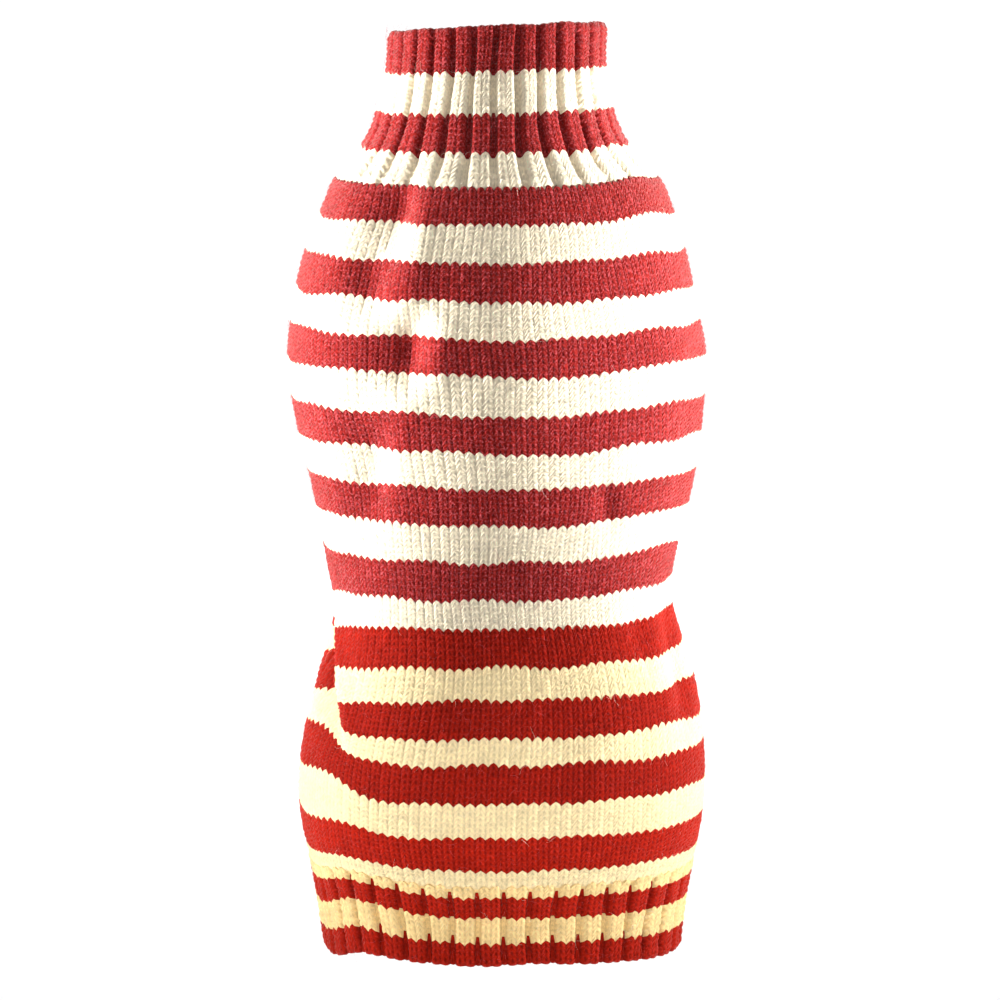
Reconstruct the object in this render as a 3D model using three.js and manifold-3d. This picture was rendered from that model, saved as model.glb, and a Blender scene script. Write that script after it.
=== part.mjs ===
// A knitted dog sweater, hollow and filled out as when it is worn: neck up, tail end down.
// Its back faces -Y and its belly, with the two leg holes, faces +Y.
// Lengths are millimetres and +Z is up.
// The origin is the centre of the collar seam, where the wearer's neck holds the sweater.

import * as THREE from 'three';
import Module from 'manifold-3d';

// Heights of the pieces along the body
const COLLAR_RIM = 54;
const COLLAR_SEAM = 0;
const HEM_SEAM = -246;
const HEM_EDGE = -276;
const SEAM_GAP = 0.3;

// Ways round, as a share of the girth from the middle of the back: 0.25 is the side at +X.
const LEFT_SIDE = -0.25;
const RIGHT_SIDE = 0.25;
const HALF_ROUND = 0.5;

// Cloth
const BODY_WALL = 2.4;
const COLLAR_RIM_WALL = 3.4;
const COLLAR_SEAM_WALL = 2.6;
const HEM_WALL = 3.2;
const CUFF_WALL = 2.8;

// Two-by-one ribbing: two raised knit columns and one sunk purl column
const COLUMNS_PER_RIB = 3;
const COLLAR_RIBS = 30;
const HEM_RIBS = 42;
const CUFF_RIBS = 12;
const COLLAR_RIB_DEPTH = 1.5;
const HEM_RIB_DEPTH = 1.2;
const CUFF_RIB_DEPTH = 1;
// Ribs leave the seams this share of their depth and are full after this share of the band's height.
const SEAM_RIB_SHARE = 0.4;
const COLLAR_RIB_ONSET = 0.2;
const HEM_RIB_ONSET = 0.3;

// The hem's edge dips at the sides and the collar's rim at the throat.
const HEM_SIDE_DIP = 4;
const COLLAR_THROAT_DROP = 5;

// Leg holes and the ribbed cuffs that stand out of them
const LEG_X = 35;
const LEG_Z = -70;
const CUFF_HALF_WIDTH = 20;
const CUFF_HALF_HEIGHT = 23;
const CUFF_DRAW_IN = 2.2;
const CUFF_REACH = 17;
const CUTTER_REACH = 40;

// How finely the walls are stepped
const PANEL_COLUMNS = 36;
const PANEL_STEPS = 20;
const COLLAR_STEPS = 6;
const HEM_STEPS = 3;
const CUFF_STEPS = 3;
const OUTLINE_STEPS = 720;

const RED = '#a92a2e';
const CREAM = '#ece0bf';

function table(columns, rows) {
  return rows.map((row) => Object.fromEntries(columns.map((column, at) => [column, row[at]])));
}

// Outer form of the whole garment, from the collar rim down to the hem edge.
// Squareness is the power of the rounded outline: 2 is an ellipse, and more is flatter in front.
const SECTIONS = table(
  ['z', 'halfWidth', 'halfDepth', 'squareness', 'centreX', 'centreY'],
  [
    [54, 38.5, 34.5, 2.1, -1.0, 0],
    [40, 38.9, 35, 2.1, -1.5, 0],
    [21, 42.9, 37.5, 2.1, -2.0, 0],
    [10, 48.6, 41, 2.1, -1.7, 0.5],
    [0, 57.6, 46, 2.15, -1.0, 1],
    [-8, 61.4, 48.8, 2.2, -0.8, 1.5],
    [-28, 68.5, 53.5, 2.2, -1.5, 3],
    [-45, 72.2, 56.5, 2.2, -1.3, 4],
    [-63, 75.0, 58, 2.2, -0.6, 4.5],
    [-84, 73.4, 57.5, 2.25, 0, 4],
    [-111, 68.2, 54, 2.3, 1.0, 1.5],
    [-140, 62.0, 50.5, 2.4, 0.1, -0.5],
    [-152, 61.0, 50, 2.45, 0.6, -1],
    [-165, 63.3, 51.5, 2.5, 1.7, -1],
    [-183, 68.2, 54, 2.6, 2.2, -0.5],
    [-208, 72.6, 57, 2.65, 0.8, 0],
    [-228, 72.8, 57, 2.6, 0.2, 0],
    [-243, 70.3, 54.8, 2.5, 0.4, 0],
    [-260, 67.0, 51.5, 2.4, 0.5, 0],
    [-276, 64.8, 49.5, 2.4, 0.8, 0],
  ],
);

// Largest creases. Start and end give the way round at the fold's top and bottom, as a share of the girth.
// A depth below 0 is a trough and above 0 a ridge.
const FOLDS = table(
  ['top', 'bottom', 'start', 'end', 'halfWidth', 'depth'],
  [
    [8, -58, -0.14, -0.125, 9, -3.2],
    [4, -92, -0.085, -0.09, 8, 1.8],
    [-48, -150, -0.12, -0.165, 10, -3],
    [-136, -226, -0.225, -0.1, 8, -5.5],
    [-150, -240, -0.262, -0.2, 10, 1.6],
    [-138, -206, 0.19, 0.155, 7, -3],
    [-20, -130, 0.205, 0.165, 12, -1.8],
    [-120, -212, 0.345, 0.41, 9, -4],
    [-128, -230, 0.3, 0.36, 10, 2],
    [-112, -200, -0.33, -0.4, 9, -3.4],
    [-8, -66, 0.47, 0.5, 10, -2.2],
  ],
);

// Where z lies in a table: the row above it, and the share of the way down to the next row.
function placeInTable(rows, z) {
  const below = rows.findIndex((row) => row.z <= z);
  const above = Math.max((below < 0 ? rows.length - 1 : below) - 1, 0);
  return { above, share: (rows[above].z - z) / (rows[above].z - rows[above + 1].z) };
}

// Slope of a column at one row, from the rows on both sides of it.
function slopeAt(rows, column, at) {
  const before = rows[Math.max(at - 1, 0)];
  const after = rows[Math.min(at + 1, rows.length - 1)];
  return (after[column] - before[column]) / (after.z - before.z);
}

// A column's value at height z, on a cubic through the rows.
function valueAt(rows, column, z) {
  const { above, share: t } = placeInTable(rows, z);
  const [upper, lower] = [rows[above], rows[above + 1]];
  const step = lower.z - upper.z;
  return (
    (2 * t ** 3 - 3 * t ** 2 + 1) * upper[column] +
    (t ** 3 - 2 * t ** 2 + t) * step * slopeAt(rows, column, above) +
    (3 * t ** 2 - 2 * t ** 3) * lower[column] +
    (t ** 3 - t ** 2) * step * slopeAt(rows, column, above + 1)
  );
}

function signedPower(value, power) {
  return Math.sign(value) * Math.abs(value) ** power;
}

// The rounded outline at height z, as points with the length run up to each, starting at the back.
function outlineAt(z) {
  const form = Object.fromEntries(
    Object.keys(SECTIONS[0]).map((column) => [column, valueAt(SECTIONS, column, z)]),
  );
  const points = [];
  let run = 0;
  for (let step = 0; step <= OUTLINE_STEPS; step += 1) {
    const angle = (2 * Math.PI * step) / OUTLINE_STEPS;
    const x = form.centreX + form.halfWidth * signedPower(Math.sin(angle), 2 / form.squareness);
    const y = form.centreY - form.halfDepth * signedPower(Math.cos(angle), 2 / form.squareness);
    if (step > 0) {
      run += Math.hypot(x - points[step - 1].x, y - points[step - 1].y);
    }
    points.push({ x, y, run });
  }
  return { form, points, girth: run };
}

const outlines = new Map();

function keptOutline(z) {
  if (!outlines.has(z)) {
    outlines.set(z, outlineAt(z));
  }
  return outlines.get(z);
}

// How far the folds lift the cloth at one place, each a bell across and a rounded swell along.
function foldLift(z, share, girth) {
  return FOLDS.reduce((lift, fold) => {
    const along = (fold.top - z) / (fold.top - fold.bottom);
    if (along <= 0 || along >= 1) {
      return lift;
    }
    const away = share - (fold.start + (fold.end - fold.start) * along);
    const across = ((away - Math.round(away)) * girth) / fold.halfWidth;
    return lift + fold.depth * Math.sin(Math.PI * along) ** 2 * Math.exp(-(across ** 2));
  }, 0);
}

// A point of the cloth at height z, a share of the way round, sunk by an inset in from the outer form.
function clothPoint(z, share, inset) {
  const { form, points, girth } = keptOutline(z);
  const run = (share - Math.floor(share)) * girth;
  const next = Math.max(points.findIndex((point) => point.run >= run), 1);
  const [from, to] = [points[next - 1], points[next]];
  const part = (run - from.run) / (to.run - from.run);
  const x = from.x + (to.x - from.x) * part;
  const y = from.y + (to.y - from.y) * part;
  const power = form.squareness - 1;
  const normal = new THREE.Vector2(
    signedPower((x - form.centreX) / form.halfWidth, power) / form.halfWidth,
    signedPower((y - form.centreY) / form.halfDepth, power) / form.halfDepth,
  ).normalize();
  const out = foldLift(z, share, girth) - inset;
  return new THREE.Vector3(x + normal.x * out, y + normal.y * out, z);
}

// A closed wall between an outer and an inner grid of points. Columns run round and rows run down.
function wallGeometry(outer, inner, closed) {
  const rows = outer.length;
  const columns = outer[0].length;
  const positions = [...outer.flat(), ...inner.flat()].flatMap((point) => point.toArray());
  const outside = (row, column) => row * columns + (column % columns);
  const inside = (row, column) => rows * columns + outside(row, column);
  const faces = [];
  const quad = (a, b, c, d) => faces.push(a, b, c, a, c, d);
  const spans = closed ? columns : columns - 1;
  for (let column = 0; column < spans; column += 1) {
    const side = column + 1;
    for (let row = 0; row < rows - 1; row += 1) {
      quad(outside(row, column), outside(row + 1, column), outside(row + 1, side), outside(row, side));
      quad(inside(row, column), inside(row, side), inside(row + 1, side), inside(row + 1, column));
    }
    quad(outside(0, column), outside(0, side), inside(0, side), inside(0, column));
    const end = rows - 1;
    quad(outside(end, column), inside(end, column), inside(end, side), outside(end, side));
  }
  if (!closed) {
    const far = columns - 1;
    for (let row = 0; row < rows - 1; row += 1) {
      quad(inside(row, 0), inside(row + 1, 0), outside(row + 1, 0), outside(row, 0));
      quad(outside(row, far), outside(row + 1, far), inside(row + 1, far), inside(row, far));
    }
  }
  const geometry = new THREE.BufferGeometry();
  geometry.setAttribute('position', new THREE.Float32BufferAttribute(positions, 3));
  geometry.setIndex(faces);
  return geometry;
}

function steps(from, to, count) {
  return Array.from({ length: count + 1 }, (_, at) => from + ((to - from) * at) / count);
}

// Half of the body, from one side seam to the other, between the collar seam and the hem seam.
function bodyPanel(firstShare) {
  const heights = steps(COLLAR_SEAM - SEAM_GAP, HEM_SEAM + SEAM_GAP, PANEL_STEPS);
  const grid = (inset) =>
    heights.map((z) => {
      const seam = SEAM_GAP / 2 / keptOutline(z).girth;
      return steps(firstShare + seam, firstShare + HALF_ROUND - seam, PANEL_COLUMNS).map((share) =>
        clothPoint(z, share, inset),
      );
    });
  return wallGeometry(grid(0), grid(BODY_WALL), false);
}

// A ribbed band's depth rises from its share at the seam to full.
function ribOnset(along, onset) {
  return Math.min(SEAM_RIB_SHARE + ((1 - SEAM_RIB_SHARE) * along) / onset, 1);
}

// A ribbed tube: every third column is sunk by the rib depth, and the inside is plain.
function ribbedTube({ ribs, levels, depthAt, wallAt, dropAt }) {
  const columns = ribs * COLUMNS_PER_RIB;
  const shares = Array.from({ length: columns }, (_, at) => (at - COLUMNS_PER_RIB / 2) / columns);
  const grid = (insetAt) =>
    levels.map((z) =>
      shares.map((share, column) => {
        const point = clothPoint(z, share, insetAt(z, column));
        point.z -= dropAt(z, share);
        return point;
      }),
    );
  const ribbed = (z, column) => (column % COLUMNS_PER_RIB === 0 ? depthAt(z) : 0);
  return wallGeometry(grid(ribbed), grid(wallAt), true);
}

// The rim lies lower at the throat than at the nape, and the seam lies level.
function collar() {
  const up = (z) => (z - COLLAR_SEAM) / (COLLAR_RIM - COLLAR_SEAM);
  return ribbedTube({
    ribs: COLLAR_RIBS,
    levels: steps(COLLAR_RIM, COLLAR_SEAM, COLLAR_STEPS),
    depthAt: (z) => COLLAR_RIB_DEPTH * ribOnset(up(z), COLLAR_RIB_ONSET),
    wallAt: (z) => COLLAR_SEAM_WALL + (COLLAR_RIM_WALL - COLLAR_SEAM_WALL) * up(z),
    dropAt: (z, share) => COLLAR_THROAT_DROP * up(z) ** 2 * Math.sin(Math.PI * share) ** 2,
  });
}

// The hem's edge dips at both sides, and its seam lies level.
function hemBand() {
  const down = (z) => (HEM_SEAM - z) / (HEM_SEAM - HEM_EDGE);
  return ribbedTube({
    ribs: HEM_RIBS,
    levels: steps(HEM_SEAM, HEM_EDGE, HEM_STEPS),
    depthAt: (z) => HEM_RIB_DEPTH * ribOnset(down(z), HEM_RIB_ONSET),
    wallAt: (z) => BODY_WALL + (HEM_WALL - BODY_WALL) * Math.min(down(z) / HEM_RIB_ONSET, 1),
    dropAt: (z, share) => HEM_SIDE_DIP * down(z) * Math.sin(2 * Math.PI * share) ** 2,
  });
}

// Depth of the belly's outer form at a place seen from the front.
function bellyDepth(x, z) {
  const { form } = keptOutline(z);
  const across = Math.min(Math.abs((x - form.centreX) / form.halfWidth), 1);
  return form.centreY + form.halfDepth * (1 - across ** form.squareness) ** (1 / form.squareness);
}

// Oval leg outline, grown by a margin, as seen from the front.
function legOutline(side, count, marginAt) {
  return Array.from({ length: count }, (_, at) => {
    const angle = (2 * Math.PI * at) / count;
    const margin = marginAt(at);
    return {
      x: side * LEG_X + (CUFF_HALF_WIDTH + margin) * Math.cos(angle),
      z: LEG_Z + (CUFF_HALF_HEIGHT + margin) * Math.sin(angle),
    };
  });
}

// A cuff stands straight out of the belly. Its root follows the inside of the wall, its end is flat.
function legCuff(side) {
  const columns = CUFF_RIBS * COLUMNS_PER_RIB;
  const end = bellyDepth(side * LEG_X, LEG_Z) + CUFF_REACH;
  const grid = (marginAt) =>
    steps(0, 1, CUFF_STEPS).map((along) =>
      legOutline(side, columns, (at) => marginAt(at) - CUFF_DRAW_IN * along).map(({ x, z }) => {
        const root = bellyDepth(x, z) - BODY_WALL;
        return new THREE.Vector3(x, root + (end - root) * along, z);
      }),
    );
  const ribbed = (at) => (at % COLUMNS_PER_RIB === 0 ? -CUFF_RIB_DEPTH : 0);
  return wallGeometry(grid(ribbed), grid(() => -CUFF_WALL), true);
}

// A plug of the leg hole's size, which reaches through the belly.
function legCutter(side) {
  const columns = CUFF_RIBS * COLUMNS_PER_RIB;
  const outline = legOutline(side, columns, () => SEAM_GAP);
  const middle = bellyDepth(side * LEG_X, LEG_Z);
  const ends = [middle - CUTTER_REACH, middle + CUTTER_REACH];
  const positions = ends.flatMap((y) => outline.flatMap(({ x, z }) => [x, y, z]));
  const faces = [];
  for (let at = 0; at < columns; at += 1) {
    const next = (at + 1) % columns;
    faces.push(at, columns + at, columns + next, at, columns + next, next);
    if (at > 0 && at < columns - 1) {
      faces.push(0, at, at + 1, columns, columns + at + 1, columns + at);
    }
  }
  const geometry = new THREE.BufferGeometry();
  geometry.setAttribute('position', new THREE.Float32BufferAttribute(positions, 3));
  geometry.setIndex(faces);
  return geometry;
}

const wasm = await Module();
wasm.setup();

function solidOf(geometry) {
  const vertProperties = Float32Array.from(geometry.attributes.position.array);
  const triVerts = Uint32Array.from(geometry.index.array);
  return new wasm.Manifold(new wasm.Mesh({ numProp: 3, vertProperties, triVerts }));
}

function geometryOf(solid) {
  const mesh = solid.getMesh();
  const geometry = new THREE.BufferGeometry();
  geometry.setAttribute('position', new THREE.Float32BufferAttribute(mesh.vertProperties, 3));
  geometry.setIndex(Array.from(mesh.triVerts));
  return geometry;
}

function bellyPanel() {
  const holes = [-1, 1].map((side) => solidOf(legCutter(side)));
  const panel = holes.reduce((wall, hole) => wall.subtract(hole), solidOf(bodyPanel(RIGHT_SIDE)));
  return geometryOf(panel);
}

function piece(name, geometry, color) {
  const mesh = new THREE.Mesh(
    geometry,
    new THREE.MeshStandardMaterial({ color, roughness: 0.95, metalness: 0 }),
  );
  mesh.name = name;
  return mesh;
}

const sweater = new THREE.Group();
sweater.add(
  piece('collar', collar(), RED),
  piece('back_panel', bodyPanel(LEFT_SIDE), CREAM),
  piece('belly_panel', bellyPanel(), CREAM),
  piece('leg_cuff_left', legCuff(-1), RED),
  piece('leg_cuff_right', legCuff(1), RED),
  piece('hem_band', hemBand(), RED),
);

export default sweater;
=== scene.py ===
"""Striped knitted dog sweater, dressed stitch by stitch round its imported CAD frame.

Lengths are millimetres until a mesh is made, and then metres. +Z is up towards the neck,
the back of the garment faces -Y and the belly, with its two leg holes, faces +Y.
"""

import logging
from dataclasses import dataclass, field
from enum import Enum
from typing import Any, Optional

import bpy
import numpy as np
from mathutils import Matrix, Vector


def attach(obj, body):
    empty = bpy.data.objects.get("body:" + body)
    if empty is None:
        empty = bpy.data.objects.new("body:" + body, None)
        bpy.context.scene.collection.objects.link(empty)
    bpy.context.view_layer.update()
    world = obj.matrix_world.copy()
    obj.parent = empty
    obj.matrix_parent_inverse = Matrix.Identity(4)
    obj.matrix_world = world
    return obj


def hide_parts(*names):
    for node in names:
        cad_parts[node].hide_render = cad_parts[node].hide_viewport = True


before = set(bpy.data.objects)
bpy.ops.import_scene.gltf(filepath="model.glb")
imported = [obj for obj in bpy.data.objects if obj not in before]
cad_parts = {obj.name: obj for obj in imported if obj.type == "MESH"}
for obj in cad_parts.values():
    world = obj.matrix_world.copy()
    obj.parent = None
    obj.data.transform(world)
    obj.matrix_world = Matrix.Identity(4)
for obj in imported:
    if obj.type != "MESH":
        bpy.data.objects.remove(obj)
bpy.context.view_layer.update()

LOG = logging.getLogger("dog_sweater")
MM = 0.001
RANDOM_SEED = 20261129
WALES_PER_RIB = 3
# Wales from a rib band's first column to the middle of the back.
FIRST_RIB = 2.0
# Girth by which widths on the table of course lifts are told.
MIDDLE_GIRTH = 400.0

# How finely one stitch is drawn: places across its wale and down its leg.
ACROSS = np.array([0.0, 0.22, 0.5, 0.78])
DOWN = np.array([0.0, 0.3, 0.7])
COLS = len(ACROSS)
ROWS = len(DOWN)


class Yarn(Enum):
    """The two yarns of the stripes."""

    CREAM = 0.0
    RED = 1.0


class YarnTone(Enum):
    """The yarns' tones by height, which grow warmer from the shoulders to the hem."""

    SHOULDER = 0
    HIP = 1
    HEM = 2


class Face(Enum):
    """Sides of the cloth: its right side, in two finishes, and the side that the wearer feels."""

    HAZY_RIGHT_SIDE = 0
    SMOOTH_RIGHT_SIDE = 1
    WRONG_SIDE = 2


# ---------------------------------------------------------------- the garment's form


@dataclass(frozen=True)
class LegHole:
    """Oval hole in the belly panel for a leg, the same on both sides of the middle."""

    x: float = 35.0
    z: float = -70.0
    half_width: float = 20.0
    half_height: float = 23.0


LEG_HOLE = LegHole()


@dataclass(frozen=True)
class Section:
    """One level of the outer form: a rounded outline whose power is its squareness."""

    z: float
    half_width: float
    half_depth: float
    squareness: float
    centre_x: float
    centre_y: float


@dataclass(frozen=True)
class Fold:
    """A soft trough (depth below 0) or ridge that runs down the cloth.

    Start and end give the way round at its top and bottom, as a share of the girth
    from the middle of the back. A right half width, where one is given, makes it lopsided.
    """

    top: float
    bottom: float
    start: float
    end: float
    half_width: float
    depth: float
    right_half_width: float = 0.0


SECTIONS = (
    Section(54, 38.5, 34.5, 2.1, -1.0, 0),
    Section(40, 38.9, 35, 2.1, -1.5, 0),
    Section(21, 42.9, 37.5, 2.1, -2.0, 0),
    Section(10, 48.6, 41, 2.1, -1.7, 0.5),
    Section(0, 57.6, 46, 2.15, -1.0, 1),
    Section(-8, 61.4, 48.8, 2.2, -0.8, 1.5),
    Section(-28, 68.5, 53.5, 2.2, -1.5, 3),
    Section(-45, 72.2, 56.5, 2.2, -1.3, 4),
    Section(-63, 75.0, 58, 2.2, -0.6, 4.5),
    Section(-84, 73.4, 57.5, 2.25, 0, 4),
    Section(-111, 68.2, 54, 2.3, 1.0, 1.5),
    Section(-140, 62.0, 50.5, 2.4, 0.1, -0.5),
    Section(-152, 61.0, 50, 2.45, 0.6, -1),
    Section(-165, 63.3, 51.5, 2.5, 1.7, -1),
    Section(-183, 68.2, 54, 2.6, 2.2, -0.5),
    Section(-208, 72.6, 57, 2.65, 0.8, 0),
    Section(-228, 72.8, 57, 2.6, 0.2, 0),
    Section(-243, 70.3, 54.8, 2.5, 0.4, 0),
    Section(-260, 67.0, 51.5, 2.4, 0.5, 0),
    Section(-276, 64.8, 49.5, 2.4, 0.8, 0),
)

# The main creases, the same as in the solids.
MAIN_FOLDS = (
    Fold(8, -58, -0.14, -0.125, 9, -3.2),
    Fold(4, -92, -0.085, -0.09, 8, 1.8),
    Fold(-48, -150, -0.12, -0.165, 10, -3),
    Fold(-136, -226, -0.225, -0.1, 8, -5.5),
    Fold(-150, -240, -0.262, -0.2, 10, 1.6),
    Fold(-138, -206, 0.19, 0.155, 7, -3),
    Fold(-20, -130, 0.205, 0.165, 12, -1.8),
    Fold(-120, -212, 0.345, 0.41, 9, -4),
    Fold(-128, -230, 0.3, 0.36, 10, 2),
    Fold(-112, -200, -0.33, -0.4, 9, -3.4),
    Fold(-8, -66, 0.47, 0.5, 10, -2.2),
)

# Finer creases that only the looks carry, placed one by one and uneven.
FINE_FOLDS = (
    Fold(12, -34, -0.112, -0.112, 13, -4.6, 5.5), Fold(10, -32, -0.116, -0.116, 5, -1.8, 3.5),
    Fold(-18, -52, -0.122, -0.13, 9, -2.0, 6),
    Fold(-34, -78, -0.077, -0.092, 14, -5.8, 5.5), Fold(-36, -76, -0.082, -0.094, 5, -1.8, 3.5),
    Fold(30, -165, -0.012, -0.012, 22, 2.6),
    Fold(-70, -124, -0.105, -0.142, 8, -3.2, 5),
    Fold(4, -36, -0.084, -0.086, 5, 1.0),
    Fold(-38, -78, -0.053, -0.064, 5, 1.2),
    Fold(-136, -226, -0.225, -0.1, 8, 4.8), Fold(-140, -208, -0.285, -0.145, 11, -8, 4.5),
    Fold(-144, -214, -0.252, -0.105, 6, 0.9),
    Fold(-98, -124, 0.074, 0.088, 4, -1.6),
    Fold(-142, -176, 0.13, 0.12, 5, -1.2),
    Fold(-160, -214, -0.06, -0.03, 9, -0.7),
    Fold(-30, -90, 0.03, 0.02, 12, 0.6),
    Fold(-176, -232, 0.08, 0.06, 8, 0.6),
    Fold(-100, -150, 0.24, 0.22, 6, -1.3),
    Fold(-24, -58, 0.31, 0.33, 5, -1.1),
    Fold(-96, -140, 0.42, 0.4, 6, -1.3),
    Fold(-140, -190, 0.47, 0.5, 7, 0.9),
    Fold(-104, -150, 0.57, 0.6, 6, -1.4),
    Fold(-150, -212, 0.64, 0.58, 7, -1.3),
    Fold(-20, -60, 0.68, 0.66, 6, -1.2),
    Fold(-196, -240, 0.52, 0.5, 8, -0.9),
)

# Places where the courses ride up or down in the cloth: each is told like a fold, and its depth
# is the lift. The first rows are the slip across the crease at the left hip.
COURSE_LIFTS = (
    Fold(-148, -208, -0.26, -0.175, 38, 9.5, 6), Fold(-172, -240, -0.225, -0.19, 38, 8.0, 18),
    Fold(-140, -204, -0.24, -0.155, 9, -4.5, 30), Fold(-125, -178, -0.25, -0.25, 16, -4.5, 22),
    Fold(-192, -240, -0.17, -0.15, 12, 3.2, 12),
    Fold(-215, -310, -0.155, -0.155, 16, 4.9, 27),
    Fold(30, -45, 0.15, 0.15, 18, 2.0),
    Fold(-30, -105, 0.15, 0.15, 18, 1.2),
    Fold(-92, -168, 0.15, 0.15, 20, 2.3),
    Fold(-172, -208, 0.145, 0.145, 14, 1.6),
    Fold(0, -150, 0.035, 0.03, 22, -1.6, 14),
    Fold(-112, -190, 0.235, 0.235, 20, 2.0),
    Fold(-144, -230, 0.3, 0.3, 24, 3.0),
    Fold(-125, -215, 0.62, 0.62, 28, 3.2),
)


class GarmentForm:
    """The outer form of the worn sweater, as a surface over height and way round.

    Each level is a rounded outline. A point lies at a share of that outline's length, so
    wales stay evenly spaced, and folds lift it along the outline's normal.
    """

    LEVEL_STEP = 1.0
    ANGLES = 720
    SHARES = 1024

    def __init__(self, sections: tuple[Section, ...], folds: tuple[Fold, ...]) -> None:
        """Work out the surface once, as a fine grid that is read between its points.

        Args:
            sections: The levels of the form, from the top down.
            folds: Troughs and ridges, laid over it.
        """
        self.sections = sections
        self.top = float(sections[0].z)
        self.bottom = float(sections[-1].z)
        self.levels = np.arange(self.top, self.bottom - 0.5, -self.LEVEL_STEP)
        form = {name: self.column(name, self.levels)[:, None] for name in (
            "half_width", "half_depth", "squareness", "centre_x", "centre_y")}
        angle = np.linspace(0.0, 2.0 * np.pi, self.ANGLES + 1)[None, :]
        x = form["centre_x"] + form["half_width"] * signed_power(
            np.sin(angle), 2.0 / form["squareness"])
        y = form["centre_y"] - form["half_depth"] * signed_power(
            np.cos(angle), 2.0 / form["squareness"])
        steps = np.hypot(np.diff(x, axis=1), np.diff(y, axis=1))
        run = np.concatenate([np.zeros((len(x), 1)), np.cumsum(steps, axis=1)], axis=1)
        self.girth = run[:, -1]
        share = np.linspace(0.0, 1.0, self.SHARES, endpoint=False)
        goal = share[None, :] * self.girth[:, None]
        x = np.array([np.interp(g, r, row) for g, r, row in zip(goal, run, x)])
        y = np.array([np.interp(g, r, row) for g, r, row in zip(goal, run, y)])
        power = form["squareness"] - 1.0
        normal_x, normal_y = (
            signed_power((value - form[centre]) / form[half], power) / form[half] for
            value, centre, half in ((x, "centre_x", "half_width"), (y, "centre_y", "half_depth")))
        length = np.hypot(normal_x, normal_y)
        height = np.repeat(self.levels[:, None], self.SHARES, axis=1)
        lift = fold_lift(folds, height, share[None, :], self.girth[:, None])
        self.points = np.stack(
            [x + normal_x / length * lift, y + normal_y / length * lift, height], axis=-1)
        round_step = np.roll(self.points, -1, axis=1) - np.roll(self.points, 1, axis=1)
        normals = np.cross(np.gradient(self.points, axis=0), round_step)
        self.normals = normals / np.linalg.norm(normals, axis=-1, keepdims=True)

    def column(self, name: str, z: np.ndarray) -> np.ndarray:
        """Value of one section column at heights z, on a cubic through the rows.

        Args:
            name: Field of Section.
            z: Heights.

        Returns:
            The column's values, one for each height.
        """
        knots = np.array([section.z for section in self.sections], dtype=float)
        values = np.array([getattr(section, name) for section in self.sections], dtype=float)
        at = np.arange(len(knots))
        before, after = np.maximum(at - 1, 0), np.minimum(at + 1, len(knots) - 1)
        slopes = (values[after] - values[before]) / (knots[after] - knots[before])
        above = np.clip(np.searchsorted(-knots, -z, side="left") - 1, 0, len(knots) - 2)
        t = (knots[above] - z) / (knots[above] - knots[above + 1])
        step = knots[above + 1] - knots[above]
        return ((2 * t**3 - 3 * t**2 + 1) * values[above]
                + (t**3 - 2 * t**2 + t) * step * slopes[above]
                + (3 * t**2 - 2 * t**3) * values[above + 1]
                + (t**3 - t**2) * step * slopes[above + 1])

    def place(self, z: np.ndarray, share: np.ndarray, depth: Any = 0.0) -> np.ndarray:
        """Points of the cloth, read between the points of the fine grid.

        Past the top or the bottom the nearest level is carried straight on.

        Args:
            z: Heights.
            share: Ways round, as shares of the girth.
            depth: How far each point is sunk along the surface's normal.

        Returns:
            The points, with one axis more than the arguments.
        """
        z, share, depth = np.broadcast_arrays(z, share, depth)
        kept = np.clip(z, self.bottom, self.top)
        # The lowest places are read just above the last level, as each needs one below it.
        down = np.clip((self.top - kept) / self.LEVEL_STEP, 0.0, len(self.levels) - 1.001)
        around = np.mod(share, 1.0) * self.SHARES
        row, column = down.astype(int), np.floor(around).astype(int)
        part_row, part_column = (down - row)[..., None], (around - column)[..., None]
        column, side = column % self.SHARES, (column + 1) % self.SHARES

        def between(grid: np.ndarray) -> np.ndarray:
            """Blend the four grid values round each place."""
            upper = grid[row, column] * (1 - part_column) + grid[row, side] * part_column
            lower = grid[row + 1, column] * (1 - part_column) + grid[row + 1, side] * part_column
            return upper * (1 - part_row) + lower * part_row

        normals = between(self.normals)
        normals /= np.linalg.norm(normals, axis=-1, keepdims=True)
        points = between(self.points) - normals * depth[..., None]
        points[..., 2] += z - kept
        return points

    def belly_depth(self, x: np.ndarray, z: np.ndarray) -> np.ndarray:
        """Depth of the belly's smooth outer form at a place seen from the front.

        Args:
            x: Places across.
            z: Heights.

        Returns:
            The y of the rounded outline there.
        """
        width, depth, power, centre_x, centre_y = (self.column(name, z) for name in (
            "half_width", "half_depth", "squareness", "centre_x", "centre_y"))
        across = np.minimum(np.abs((x - centre_x) / width), 1.0)
        return centre_y + depth * (1.0 - across**power) ** (1.0 / power)


def signed_power(value: np.ndarray, power: Any) -> np.ndarray:
    """A power of the value's size, which keeps its sign."""
    return np.sign(value) * np.abs(value) ** power


def fold_lift(folds: tuple[Fold, ...], z: np.ndarray, share: np.ndarray,
              girth: np.ndarray) -> np.ndarray:
    """How far the folds lift the cloth: each is a bell across and a rounded swell along.

    Args:
        folds: The folds.
        z: Heights.
        share: Ways round.
        girth: Length of the outline at each height.

    Returns:
        The sum of their lifts at each place.
    """
    lift = np.zeros(np.broadcast_shapes(z.shape, share.shape))
    for fold in folds:
        along = np.clip((fold.top - z) / (fold.top - fold.bottom), 0.0, 1.0)
        away = share - (fold.start + (fold.end - fold.start) * along)
        across = (away - np.round(away)) * girth
        right = fold.right_half_width or fold.half_width
        across = across / np.where(across > 0, right, fold.half_width)
        lift = lift + fold.depth * np.sin(np.pi * along) ** 2 * np.exp(-across**2)
    return lift


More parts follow.
